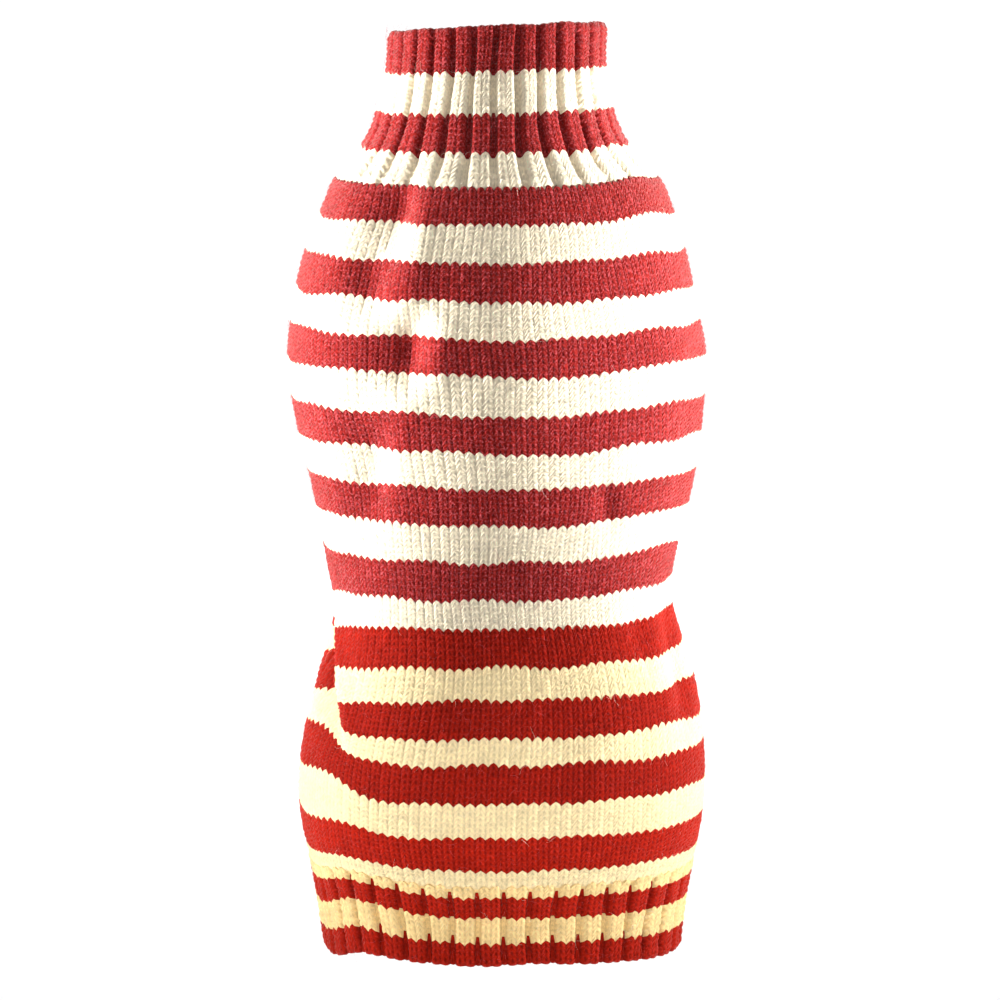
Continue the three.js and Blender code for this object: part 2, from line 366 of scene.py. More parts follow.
def course_lift(z: np.ndarray, share: np.ndarray) -> np.ndarray:
    """How far the courses ride up, from their table."""
    return fold_lift(COURSE_LIFTS, z, share, np.array(MIDDLE_GIRTH))


# ---------------------------------------------------------------- stripes and stitches


@dataclass(frozen=True)
class Stripe:
    """A run of courses in one yarn, down to the height of its lower edge."""

    yarn: Yarn
    courses: int
    lower_edge: float
    lot: YarnTone = YarnTone.SHOULDER


@dataclass(frozen=True)
class StripeChart:
    """The stripes of one piece, counted in courses from its top."""

    top: float
    stripes: tuple[Stripe, ...]
    spare: int = 4

    @property
    def courses(self) -> int:
        """Number of courses in the piece."""
        return sum(stripe.courses for stripe in self.stripes)

    def heights(self, course: np.ndarray) -> np.ndarray:
        """Height at each course, by lines through the stripe edges and on past both ends."""
        counts = np.cumsum([0] + [stripe.courses for stripe in self.stripes]).astype(float)
        edges = np.array([self.top] + [stripe.lower_edge for stripe in self.stripes], dtype=float)
        first = (edges[1] - edges[0]) / (counts[1] - counts[0])
        last = (edges[-1] - edges[-2]) / (counts[-1] - counts[-2])
        counts = np.concatenate([[counts[0] - self.spare], counts, [counts[-1] + self.spare]])
        edges = np.concatenate(
            [[edges[0] - self.spare * first], edges, [edges[-1] + self.spare * last]])
        return np.interp(course, counts, edges)

    def by_course(self, what: str) -> np.ndarray:
        """The yarn or the dye lot of each course, as its number."""
        return np.repeat([getattr(stripe, what).value for stripe in self.stripes],
                         [stripe.courses for stripe in self.stripes])


R, C, HIP, HEM = Yarn.RED, Yarn.CREAM, YarnTone.HIP, YarnTone.HEM
COLLAR_CHART = StripeChart(54.0, (
    Stripe(R, 7, 39.3), Stripe(C, 6, 24.6), Stripe(R, 6, 11.4), Stripe(C, 5, 0.0)))
BODY_CHART = StripeChart(0.0, (
    Stripe(R, 6, -12.8), Stripe(C, 6, -25.5), Stripe(R, 6, -38.8), Stripe(C, 6, -51.3),
    Stripe(R, 6, -64.1), Stripe(C, 6, -78.0), Stripe(R, 6, -91.1), Stripe(C, 6, -103.9),
    Stripe(R, 6, -117.2), Stripe(C, 6, -130.5), Stripe(R, 6, -144.1), Stripe(C, 5, -154.2),
    Stripe(R, 6, -167.5, HIP), Stripe(C, 5, -179.0, HIP), Stripe(R, 6, -192.3, HIP),
    Stripe(C, 4, -201.8, HIP), Stripe(R, 6, -215.3, HIP), Stripe(C, 6, -227.8, HIP),
    Stripe(R, 6, -240.2, HEM), Stripe(C, 3, -246.0, HIP)))
HEM_CHART = StripeChart(-246.0, (
    Stripe(C, 2, -250.4, HEM), Stripe(R, 4, -258.2, HEM), Stripe(C, 4, -267.5, HEM),
    Stripe(R, 3, -274.6, HEM)))


@dataclass(frozen=True)
class StitchRelief:
    """Relief of one stitch in mm: a row for each place down its legs, a column for each across.

    The garment is knitted from the neck down, so a knit stitch is a round arch of two legs. Its
    top lies over the course above, its legs pass under the arch below, and a hole shows between
    them. A deep groove parts it from the next wale. A purl stitch is one bump.
    """

    knit: tuple[tuple[float, ...], ...] = (
        (-0.56, -0.16, -0.34, -0.16), (-0.5, 0.22, -0.3, 0.22), (-0.54, 0.28, -0.72, 0.28))
    purl: tuple[tuple[float, ...], ...] = (
        (-0.4, -0.35, -0.35, -0.35), (-0.3, 0.1, 0.16, 0.1), (-0.3, 0.1, 0.16, 0.1))
    knit_lean: tuple[float, ...] = (-0.34, 0.08, 0.34, 0.08)
    purl_lean: tuple[float, ...] = (-0.3, 0.0, 0.0, 0.0)
    stitch_noise: float = 0.08
    tilt_noise: float = 0.048

    def fields(self, wales: int, courses: int, purl: np.ndarray, purl_shift: np.ndarray,
               rng: np.random.Generator) -> tuple[np.ndarray, np.ndarray]:
        """Relief and lean over a whole piece: one stitch's table, laid side by side.

        The lean says how far, in courses, a place lies above its course's level.

        Args:
            wales: Number of wales, with one column more at the end.
            courses: Number of courses.
            purl: True for each purl wale.
            purl_shift: Courses by which purl wales lie higher, one for each fine row.
            rng: Source of the small unevenness from stitch to stitch.

        Returns:
            Relief (mm) and lean (courses), each with a value for every fine row and column.
        """
        columns, rows = np.arange(COLS * wales + 1), np.arange(ROWS * courses + 1)
        kind = np.append(purl, purl[0]).astype(int)
        inner = columns % COLS != 0
        beside = np.maximum(kind, np.roll(np.append(purl, purl[-1]).astype(int), 1))
        column_kind = np.where(inner, kind[columns // COLS], beside[columns // COLS])
        tables = np.array([self.knit, self.purl])
        relief = tables[column_kind[None, :], (rows % ROWS)[:, None], (columns % COLS)[None, :]]
        lean = np.array([self.knit_lean, self.purl_lean])[column_kind, columns % COLS][None, :]
        lean = lean + np.where(inner & (column_kind == 1), 1.0, 0.0)[None, :] * purl_shift[:, None]
        noise = rng.normal(0.0, self.stitch_noise, (courses + 1, wales + 1))
        relief = relief + noise[rows // ROWS][:, columns // COLS]
        tilt = rng.normal(0.0, self.tilt_noise, (courses + 1, wales + 1))
        lean = lean + tilt[rows // ROWS][:, columns // COLS] * inner[None, :]
        return relief, lean


@dataclass(frozen=True)
class TensionWander:
    """Slow wander of hand-fed tension, as a sum of waves round and along the garment."""

    rise: float = 0.32
    drift: float = 0.22
    waves: int = 6
    most_round: int = 13
    most_along: float = 0.05

    def fields(self, share: np.ndarray, z: np.ndarray) -> tuple[np.ndarray, np.ndarray]:
        """Rise (mm) and drift (mm) at each place: sines of whole numbers round, any along.

        Args:
            share: Ways round.
            z: Heights.

        Returns:
            Rise and drift.
        """
        rng = np.random.default_rng(RANDOM_SEED)
        rise = np.zeros(np.broadcast_shapes(share.shape, z.shape))
        drift = rise.copy()
        for _ in range(self.waves):
            turns = rng.integers(2, self.most_round, 2)
            along = rng.uniform(-self.most_along, self.most_along, 2)
            phase = rng.uniform(0.0, 2.0 * np.pi, 2)
            rise = rise + np.sin(2 * np.pi * (turns[0] * share + along[0] * z) + phase[0])
            drift = drift + np.sin(2 * np.pi * (turns[1] * share + along[1] * z) + phase[1])
        scale = np.sqrt(2.0 / self.waves)
        return rise * scale * self.rise, drift * scale * self.drift


# ---------------------------------------------------------------- meshes


class MeshBasket:
    """Gathers points and faces as whole arrays, and makes one Blender mesh of them."""

    def __init__(self) -> None:
        """Start empty."""
        self.points: list[np.ndarray] = []
        self.relief: list[np.ndarray] = []
        self.faces: list[dict[str, np.ndarray]] = []
        self.count = 0

    def add_points(self, points: np.ndarray, relief: np.ndarray) -> int:
        """Add points (mm) with their relief, and return the number of the first."""
        first = self.count
        self.points.append(points.reshape(-1, 3))
        self.relief.append(np.broadcast_to(relief, points.shape[:-1]).reshape(-1))
        self.count += self.points[-1].shape[0]
        return first

    def add_faces(self, corners: np.ndarray, knit: np.ndarray, sheet: np.ndarray,
                  face: Face, **marks: np.ndarray) -> None:
        """Add faces of one corner count.

        Args:
            corners: Point numbers, one row a face.
            knit: Wale and course of each corner.
            sheet: Place of each corner on the bake sheet.
            face: Side of the cloth. The right side's finish goes by the yarn's tone band.
            **marks: Numbers for each face: red and lot.
        """
        side = np.full(len(corners), face.value)
        if face is not Face.WRONG_SIDE:
            side = np.where(marks["lot"] == YarnTone.SHOULDER.value, Face.HAZY_RIGHT_SIDE.value,
                            Face.SMOOTH_RIGHT_SIDE.value)
        self.faces.append(
            {"corners": corners, "knit": knit, "sheet": sheet, "side": side, **marks})

    def build(self, name: str, materials: list[bpy.types.Material]) -> bpy.types.Object:
        """Make the mesh and its object, with points that no face uses left out.

        Args:
            name: Name of the piece.
            materials: One for each side of the cloth.

        Returns:
            The new object, at the origin.
        """
        flat = np.concatenate([block["corners"].reshape(-1) for block in self.faces])
        used, flat = np.unique(flat, return_inverse=True)
        points = np.concatenate(self.points)[used] * MM
        relief = np.concatenate(self.relief)[used]
        sizes = np.concatenate([np.full(len(block["corners"]), block["corners"].shape[1])
                                for block in self.faces])
        mesh = bpy.data.meshes.new(name)
        mesh.vertices.add(len(points))
        mesh.vertices.foreach_set("co", points.astype(np.float32).reshape(-1))
        mesh.loops.add(len(flat))
        mesh.loops.foreach_set("vertex_index", flat.astype(np.int32))
        mesh.polygons.add(len(sizes))
        starts = np.concatenate([[0], np.cumsum(sizes)[:-1]])
        mesh.polygons.foreach_set("loop_start", starts.astype(np.int32))
        mesh.polygons.foreach_set("use_smooth", np.ones(len(sizes), dtype=bool))
        sides = np.concatenate([block["side"] for block in self.faces])
        mesh.polygons.foreach_set("material_index", sides.astype(np.int32))
        for layer, key in (("Knit", "knit"), ("OFBake", "sheet")):
            values = np.concatenate([block[key].reshape(-1, 2) for block in self.faces])
            mesh.uv_layers.new(name=layer).data.foreach_set(
                "uv", values.astype(np.float32).reshape(-1))
        for mark in ("red", "lot"):
            values = np.concatenate([block[mark] for block in self.faces])
            mesh.attributes.new(mark, "FLOAT", "FACE").data.foreach_set(
                "value", values.astype(np.float32))
        # The relief also sets the yarn's painted shade in hollows and painted light on crowns.
        mesh.attributes.new("relief", "FLOAT", "POINT").data.foreach_set(
            "value", relief.astype(np.float32))
        mesh.update(calc_edges=True)
        mesh.validate()
        for material in materials:
            mesh.materials.append(material)
        piece = bpy.data.objects.new(name, mesh)
        bpy.context.scene.collection.objects.link(piece)
        return piece


@dataclass
class KnitShell:
    """A knitted wall: a fine right side, a plain wrong side and rims at every open edge.

    The right side has 4 columns and 3 rows of quads a stitch. The wrong side has one quad a
    stitch. Where a stitch has no neighbour, a fan of triangles joins the two sides.
    """

    outer: np.ndarray
    inner: np.ndarray
    relief: np.ndarray
    red: np.ndarray
    lot: np.ndarray
    wales: int
    closed: bool
    kept: np.ndarray = field(init=False)

    # Where the right side ends on the bake sheet, and the wrong side and the rims lie.
    SHEET_SPLIT = 0.74
    SHEET_INNER = (0.76, 0.92)
    SHEET_RIM = (0.93, 0.99)

    def __post_init__(self) -> None:
        """Keep every stitch, until some are dropped."""
        self.courses = len(self.red)
        self.kept = np.ones((self.courses, self.wales), dtype=bool)

    def build(self, name: str, materials: list[bpy.types.Material]) -> bpy.types.Object:
        """Make the closed mesh of the kept stitches.

        Args:
            name: Name of the piece.
            materials: One for each side of the cloth.

        Returns:
            The new object.
        """
        basket = MeshBasket()
        self.outer_first = basket.add_points(self.outer, self.relief)
        self.inner_first = basket.add_points(self.inner, np.zeros(1))
        self._right_side(basket)
        self._wrong_side(basket)
        self._rims(basket)
        return basket.build(name, materials)

    def _outer_at(self, row: np.ndarray, column: np.ndarray) -> np.ndarray:
        """Point numbers on the right side."""
        return self.outer_first + row * self.outer.shape[1] + column % self.outer.shape[1]

    def _inner_at(self, row: np.ndarray, column: np.ndarray) -> np.ndarray:
        """Point numbers on the wrong side."""
        return self.inner_first + row * self.inner.shape[1] + column % self.inner.shape[1]

    def _marks(self, course: np.ndarray) -> dict[str, np.ndarray]:
        """Yarn and dye lot of faces, by their course."""
        return {"red": self.red[course], "lot": self.lot[course]}

    def _right_side(self, basket: MeshBasket) -> None:
        """Quads of the right side: top left, bottom left, bottom right, top right."""
        fine = np.repeat(np.repeat(self.kept, ROWS, axis=0), COLS, axis=1)
        row, column = np.nonzero(fine)
        rows = np.stack([row, row + 1, row + 1, row], axis=1)
        columns = np.stack([column, column, column + 1, column + 1], axis=1)
        across = np.append(ACROSS, 1.0)
        down = np.append(DOWN, 1.0)
        wale, course = column // COLS, row // ROWS
        knit_wale = wale[:, None] + across[columns - wale[:, None] * COLS]
        knit_course = course[:, None] + down[rows - course[:, None] * ROWS]
        sheet = np.stack([columns / (COLS * self.wales),
                          rows / (ROWS * self.courses) * self.SHEET_SPLIT], axis=-1)
        knit = np.stack([knit_wale, knit_course], axis=-1)
        basket.add_faces(self._outer_at(rows, columns), knit, sheet, Face.HAZY_RIGHT_SIDE,
                         **self._marks(course))

    def _wrong_side(self, basket: MeshBasket) -> None:
        """Quads of the wrong side, turned to face inwards."""
        course, wale = np.nonzero(self.kept)
        rows = np.stack([course, course, course + 1, course + 1], axis=1)
        columns = np.stack([wale, wale + 1, wale + 1, wale], axis=1)
        low, high = self.SHEET_INNER
        sheet = np.stack([columns / self.wales, low + rows / self.courses * (high - low)], axis=-1)
        knit = np.stack([columns, rows], axis=-1).astype(float)
        basket.add_faces(self._inner_at(rows, columns), knit, sheet, Face.WRONG_SIDE,
                         **self._marks(course))

    def _rims(self, basket: MeshBasket) -> None:
        """Fans of triangles along each open edge, between the two sides of the cloth."""
        padded = np.zeros((self.courses + 2, self.wales + 2), dtype=bool)
        padded[1:-1, 1:-1] = self.kept
        if self.closed:
            padded[:, 0], padded[:, -1] = padded[:, -2], padded[:, 1]
        middle = padded[1:-1, 1:-1]
        bare = {"top": middle & ~padded[:-2, 1:-1], "bottom": middle & ~padded[2:, 1:-1],
                "left": middle & ~padded[1:-1, :-2], "right": middle & ~padded[1:-1, 2:]}
        total = sum(int(where.sum()) for where in bare.values())
        done = 0
        for side, where in bare.items():
            course, wale = (value[:, None] for value in np.nonzero(where))
            if not len(course):
                continue
            if side in ("top", "bottom"):
                end = 0 if side == "top" else 1
                outer = self._outer_at((course + end) * ROWS, wale * COLS + np.arange(COLS + 1))
                inner = self._inner_at(course + end, wale + np.arange(2))
                fan = ((0, 1, 5), (1, 2, 5), (2, 6, 5), (2, 3, 6), (3, 4, 6))
                along = np.append(np.append(ACROSS, 1.0), [0.0, 1.0])
            else:
                end = 0 if side == "left" else 1
                outer = self._outer_at(course * ROWS + np.arange(ROWS + 1), (wale + end) * COLS)
                inner = self._inner_at(course + np.arange(2), wale + end)
                fan = ((0, 1, 4), (1, 5, 4), (1, 2, 5), (2, 3, 5))
                along = np.append(np.append(DOWN, 1.0), [0.0, 1.0])
            if side in ("bottom", "left"):
                fan = tuple(tri[::-1] for tri in fan)
            corners = np.concatenate([outer, inner], axis=1)
            is_inner = (np.arange(corners.shape[1]) >= outer.shape[1]).astype(float)
            strip = (done + np.arange(len(course)))[:, None] / total
            sheet_u = strip + along[None, :] / total
            low, high = self.SHEET_RIM
            sheet_v = low + (high - low) * is_inner[None, :]
            done += len(course)
            picked, knit_wale, knit_course, sheet_u, sheet_v = (
                np.broadcast_to(values, corners.shape)[:, np.array(fan)].reshape(-1, 3)
                for values in (corners, wale + 0.5, course + 0.5, sheet_u, sheet_v))
            marks = {key: np.repeat(value[:, 0], len(fan)) for key, value in
                     self._marks(course).items()}
            basket.add_faces(picked, np.stack([knit_wale, knit_course], axis=-1),
                             np.stack([sheet_u, sheet_v], axis=-1), Face.WRONG_SIDE, **marks)


def fine_columns(wales: int) -> np.ndarray:
    """Wale coordinate of each fine column, the last one included."""
    return np.append((np.arange(wales)[:, None] + ACROSS[None, :]).reshape(-1), float(wales))


def fine_rows(courses: int) -> np.ndarray:
    """Course coordinate of each fine row, the last one included."""
    return np.append((np.arange(courses)[:, None] + DOWN[None, :]).reshape(-1), float(courses))


def from_purl(wale: np.ndarray) -> np.ndarray:
    """Wales from a place to the middle of the nearest purl wale, the first of each rib."""
    half = WALES_PER_RIB / 2.0
    return np.abs(np.mod(wale - 0.5 + half, WALES_PER_RIB) - half)


# ---------------------------------------------------------------- materials


def linear(hex_colour: str) -> tuple[float, float, float, float]:
    """An sRGB hex colour as linear red, green, blue and an alpha of 1."""
    values = np.array([int(hex_colour[at:at + 2], 16) / 255.0 for at in (1, 3, 5)])
    values = np.where(values <= 0.04045, values / 12.92, ((values + 0.055) / 1.055) ** 2.4)
    return (*(float(value) for value in values), 1.0)


def add_node(tree: bpy.types.NodeTree, kind: str, settings: Optional[dict[str, Any]] = None,
             **inputs: Any) -> bpy.types.Node:
    """Add one node, with its settings, and its inputs as values or links.

    Args:
        tree: The node tree.
        kind: Blender's name of the node's type.
        settings: Attributes to set on the node.
        **inputs: Values or output sockets, by input name (spaces as _) or as i0, i1 and so on.

    Returns:
        The node.
    """
    node = tree.nodes.new(kind)
    for key, value in (settings or {}).items():
        setattr(node, key, value)
    for key, value in inputs.items():
        numbered = key[0] == "i" and key[1:].isdigit()
        socket = node.inputs[int(key[1:])] if numbered else node.inputs[key.replace("_", " ")]
        if isinstance(value, bpy.types.NodeSocket):
            tree.links.new(value, socket)
        else:
            socket.default_value = value
    return node


class ShaderGraph:
    """The node tree of a material or world, with short ways to add its commonest nodes."""

    def __init__(self, owner: bpy.types.ID) -> None:
        """Start an empty tree.

        Args:
            owner: The material or world.
        """
        owner.use_nodes = True
        self.tree = owner.node_tree
        self.tree.nodes.clear()

    def math(self, operation: str, *values: Any) -> bpy.types.NodeSocket:
        """A number worked out from others."""
        inputs = {f"i{at}": value for at, value in enumerate(values)}
        return add_node(self.tree, "ShaderNodeMath", {"operation": operation}, **inputs).outputs[0]

    def vector(self, operation: str, *values: Any, output: str = "Vector",
               **named: Any) -> bpy.types.NodeSocket:
        """A vector, or with output "Value" a number, worked out from vectors."""
        inputs = {f"i{at}": value for at, value in enumerate(values)}
        return add_node(self.tree, "ShaderNodeVectorMath", {"operation": operation}, **inputs,
                        **named).outputs[output]

    def ranged(self, value: bpy.types.NodeSocket, kind: str = "LINEAR",
               **ends: Any) -> bpy.types.NodeSocket:
        """A number carried from one range to another, and held at its ends."""
        return add_node(self.tree, "ShaderNodeMapRange", {"interpolation_type": kind},
                        Value=value, **ends).outputs[0]

    def mix(self, share: Any, first: Any, second: Any) -> bpy.types.NodeSocket:
        """A colour that has the given share of the second."""
        return add_node(self.tree, "ShaderNodeMix", {"data_type": "RGBA"},
                        i0=share, i6=first, i7=second).outputs[2]

    def noise(self, settings: Optional[dict[str, Any]] = None,
              **inputs: Any) -> bpy.types.NodeSocket:
        """Cloudy noise, whose middle value is 0.5."""
        return add_node(self.tree, "ShaderNodeTexNoise", settings, **inputs).outputs["Fac"]

    def attribute(self, name: str) -> bpy.types.NodeSocket:
        """A number that the mesh carries."""
        return add_node(self.tree, "ShaderNodeAttribute", {"attribute_name": name}).outputs["Fac"]

    def place(self) -> bpy.types.NodeSocket:
        """The place in the object's own frame (m)."""
        return add_node(self.tree, "ShaderNodeTexCoord").outputs["Object"]

    def surface(self, **inputs: Any) -> None:
        """Finish a material with one principled shader."""
        shader = add_node(self.tree, "ShaderNodeBsdfPrincipled", **inputs)
        add_node(self.tree, "ShaderNodeOutputMaterial", Surface=shader.outputs[0])


@dataclass(frozen=True)
class WoolYarn:
    """Two-ply brushed yarn of wool or wool-like acrylic, knitted.

    It is matt, with a pale haze of loose fibre that shows most at a glancing angle. The plies
    wind round each other about every 1.6 mm, and fibres of 0.03 mm streak along them, which is
    too fine to show and is drawn about 0.25 mm wide. Painted shade darkens the hollows and the
    holes between the legs, and painted light lightens the crowns. Each is told by its share of the
    yarn's own colour. The painted shade in hollows is less dark in cream, through which light
    passes.
    """

    name: str
    reds: tuple[str, str, str] = ("#9b201b", "#a11906", "#b41e08")
    creams: tuple[str, str, str] = ("#f5e7ca", "#f3ddac", "#f6d596")
    tuft_and_glint_colour: str = "#cf5f66"
    sheen_colour: str = "#fff2ea"
    roughness: float = 0.92
    specular: float = 0.1
    sheen: float = 0.3
    sheen_roughness: float = 0.35
    cream_painted_hollow_shade: float = 0.84
    red_painted_hollow_shade: float = 0.42
    cream_painted_crown_light: float = 1.16
    red_painted_crown_light: float = 1.12
    # Reliefs (mm) at which the painted shade is darkest and the painted light palest.
    hollow_relief: float = -1.1
    crown_relief: float = 0.28
    cream_painted_hole_shade: float = 0.862
    red_painted_hole_shade: float = 0.54
    tuft_and_glint_share: float = 0.5
    bump: float = 0.6
    ply_height_mm: float = 0.13
    purl_height_mm: float = 0.45
    wrong_side: bool = False

    def make(self) -> bpy.types.Material:
        """Build the material's nodes.

        Returns:
            The material.
        """
        material = bpy.data.materials.new(self.name)
        graph = ShaderGraph(material)
        knit = add_node(graph.tree, "ShaderNodeUVMap", {"uv_map": "Knit"}).outputs["UV"]
        place, red = graph.place(), graph.attribute("red")
        # One stitch is about 3.7 by 2.2 mm: streaks run down the leg, 14 across a stitch.
        fibre = graph.noise({"noise_dimensions": "2D"}, Scale=1.0, Detail=3.0, Roughness=0.6,
                            Vector=graph.vector("MULTIPLY", knit, (14.0, 2.6, 1.0)))
        # Slow clouds of 25 mm and flecks of 1.5 mm, in the garment's own place.
        cloud = graph.noise(Vector=place, Scale=40.0, Detail=2.0)
        fleck = graph.noise(Vector=place, Scale=700.0, Detail=2.0)
        stitch = add_node(graph.tree, "ShaderNodeTexWhiteNoise", {"noise_dimensions": "2D"},
                          Vector=graph.vector("FLOOR", knit)).outputs["Value"]
        # Painted shade and painted light: the relief darkens the hollows and lightens the crowns,
        # less so in cream.
        shade = graph.ranged(
            graph.attribute("relief"), From_Min=self.hollow_relief, From_Max=self.crown_relief,
            To_Min=graph.ranged(red, To_Min=self.cream_painted_hollow_shade, To_Max=self.red_painted_hollow_shade),
            To_Max=graph.ranged(red, To_Min=self.cream_painted_crown_light, To_Max=self.red_painted_crown_light))
        for value, low, high in ((fibre, 0.84, 1.16), (cloud, 0.96, 1.04), (fleck, 0.9, 1.1),
                                 (stitch, 0.95, 1.05)):
            part = graph.ranged(value, From_Min=0.2, From_Max=0.8, To_Min=low, To_Max=high)
            shade = graph.math("MULTIPLY", shade, part)
        if not self.wrong_side:
            shade = self._with_painted_hole_shade(graph, knit, red, shade)
        # Tufts of brushed-up fibre, about 0.7 mm apart, are a paler pink on red: partly the fibre's
        # own paler colour and partly a painted glint where fibres catch the light.
        tuft = graph.noise(Vector=place, Scale=1400.0, Detail=1.0)
        tuft = graph.ranged(tuft, "SMOOTHSTEP", From_Min=0.46, From_Max=0.68, To_Max=self.tuft_and_glint_share)
        colour = graph.mix(graph.math("MULTIPLY", tuft, red), self._yarn_colour(graph, red),
                           linear(self.tuft_and_glint_colour))
        graph.surface(
            Base_Color=graph.vector("SCALE", colour, Scale=shade),
            Normal=self._yarn_bump(graph, knit, fibre), Roughness=self.roughness,
            Specular_IOR_Level=self.specular, Sheen_Weight=self.sheen,
            Sheen_Roughness=self.sheen_roughness, Sheen_Tint=linear(self.sheen_colour))
        return material

    def _with_painted_hole_shade(self, graph: ShaderGraph, knit: bpy.types.NodeSocket,
                    red: bpy.types.NodeSocket, shade: bpy.types.NodeSocket) -> bpy.types.NodeSocket:
        """Darken the two small ovals of each stitch where one can see between its legs, as painted
        shade.

        Args:
            graph: The material's nodes.
            knit: Wale and course.
            red: 1 on red yarn.
            shade: Share of the yarn's colour so far.

        Returns:
            The share with the holes' painted shade.
        """
        # Painted shade in each hole, deeper on red than on cream.
        inside = graph.ranged(red, To_Min=self.cream_painted_hole_shade, To_Max=self.red_painted_hole_shade)
        # A hole fades out 0.18 of a wale and 0.48 of a course from its middle.
        across, along = 6.5, 2.4
        for wale, course in ((0.5, 0.76), (0.0, 0.3)):
            cell = graph.vector("ADD", knit, (0.5 - wale, 0.5 - course, 0.0))
            away = graph.vector("MULTIPLY_ADD", graph.vector("FRACTION", cell),
                                (across, along, 0.0), (-across / 2.0, -along / 2.0, 0.0))
            away = graph.vector("LENGTH", away, output="Value")
            hole = graph.ranged(away, "SMOOTHSTEP", From_Min=0.2, From_Max=1.15, To_Min=inside)
            shade = graph.math("MULTIPLY", shade, hole)
        return shade

    def _yarn_colour(self, graph: ShaderGraph, red: bpy.types.NodeSocket) -> bpy.types.NodeSocket:
        """Colour of the yarn that each face is knitted from, by its tone band and stripe."""
        lot = graph.attribute("lot")
        yarns = []
        for shades in (self.creams, self.reds):
            colour = linear(shades[YarnTone.SHOULDER.value])
            for later in (YarnTone.HIP.value, YarnTone.HEM.value):
                reached = graph.math("GREATER_THAN", lot, later - 0.5)
                colour = graph.mix(reached, colour, linear(shades[later]))
            yarns.append(colour)
        return graph.mix(red, *yarns)

    def _yarn_bump(self, graph: ShaderGraph, knit: bpy.types.NodeSocket,
                   fibre: bpy.types.NodeSocket) -> bpy.types.NodeSocket:
        """Bump of the winding plies, or of the purl ridges on the wrong side."""
        waves = (0.0, 1.0, 0.0) if self.wrong_side else (1.6, 1.5, 0.0)
        turns = graph.vector("DOT_PRODUCT", knit, waves, output="Value")
        wave = graph.math("SINE", graph.math("MULTIPLY", turns, 2.0 * np.pi))
        depth = self.purl_height_mm if self.wrong_side else self.ply_height_mm
        return add_node(graph.tree, "ShaderNodeBump", Strength=self.bump, Distance=depth * MM,
                        Height=graph.math("MULTIPLY_ADD", fibre, 1.6, wave)).outputs[0]


@dataclass(frozen=True)
class LooseWool:
    """Single wool fibres that stand off the cloth: paler than their yarn, thin and matt."""

    name: str = "loose_wool_fibre"
    creams: tuple[str, str] = ("#e8dcc0", "#fffdf4")
    reds: tuple[str, str] = ("#b02c36", "#d4696c")
    roughness: float = 0.8
    specular: float = 0.3

    def make(self) -> bpy.types.Material:
        """Build the material's nodes, with a tint that changes about every 3 mm.

        Returns:
            The material.
        """
        material = bpy.data.materials.new(self.name)
        graph = ShaderGraph(material)
        tint = graph.noise(Vector=graph.place(), Scale=300.0)
        yarns = (graph.mix(tint, *(linear(shade) for shade in pair))
                 for pair in (self.creams, self.reds))
        graph.surface(Base_Color=graph.mix(graph.attribute("red"), *yarns),
                      Roughness=self.roughness, Specular_IOR_Level=self.specular)
        return material


@dataclass(frozen=True)
class PaintedPlaster:
    """Floor of plaster, painted a matt near-white, with a faint mottle about 0.3 m wide."""

    name: str = "painted_plaster_floor"
    shades: tuple[str, str] = ("#f6f6f6", "#fafafa")
    roughness: float = 0.9
    specular: float = 0.1

    def make(self) -> bpy.types.Material:
        """Build the material's nodes.

        Returns:
            The material.
        """
        material = bpy.data.materials.new(self.name)
        graph = ShaderGraph(material)
        mottle = graph.noise(Vector=graph.place(), Scale=3.0)
        graph.surface(Base_Color=graph.mix(mottle, *(linear(shade) for shade in self.shades)),
                      Roughness=self.roughness, Specular_IOR_Level=self.specular)
        return material


# ---------------------------------------------------------------- the garment's pieces


@dataclass
class PieceMaker:
    """What every knitted piece shares: the form, the finishes and how it is handed over."""

    form: GarmentForm
    relief: StitchRelief
    wander: TensionWander
    materials: list[bpy.types.Material]

    def hand_over(self, piece: bpy.types.Object, node: str,
                  flat: tuple[float, float]) -> bpy.types.Object:
        """Make the piece ride, replace its node and state its cut.

        Args:
            piece: The finished object.
            node: Node that it stands for.
            flat: Width and length of the cut (m).

        Returns:
            The same object.
        """
        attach(piece, "root")
        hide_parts(node)
        LOG.info("%s: %d faces, cut %.0f x %.0f mm", piece.name, len(piece.data.polygons),
                 flat[0] / MM, flat[1] / MM)
        return piece


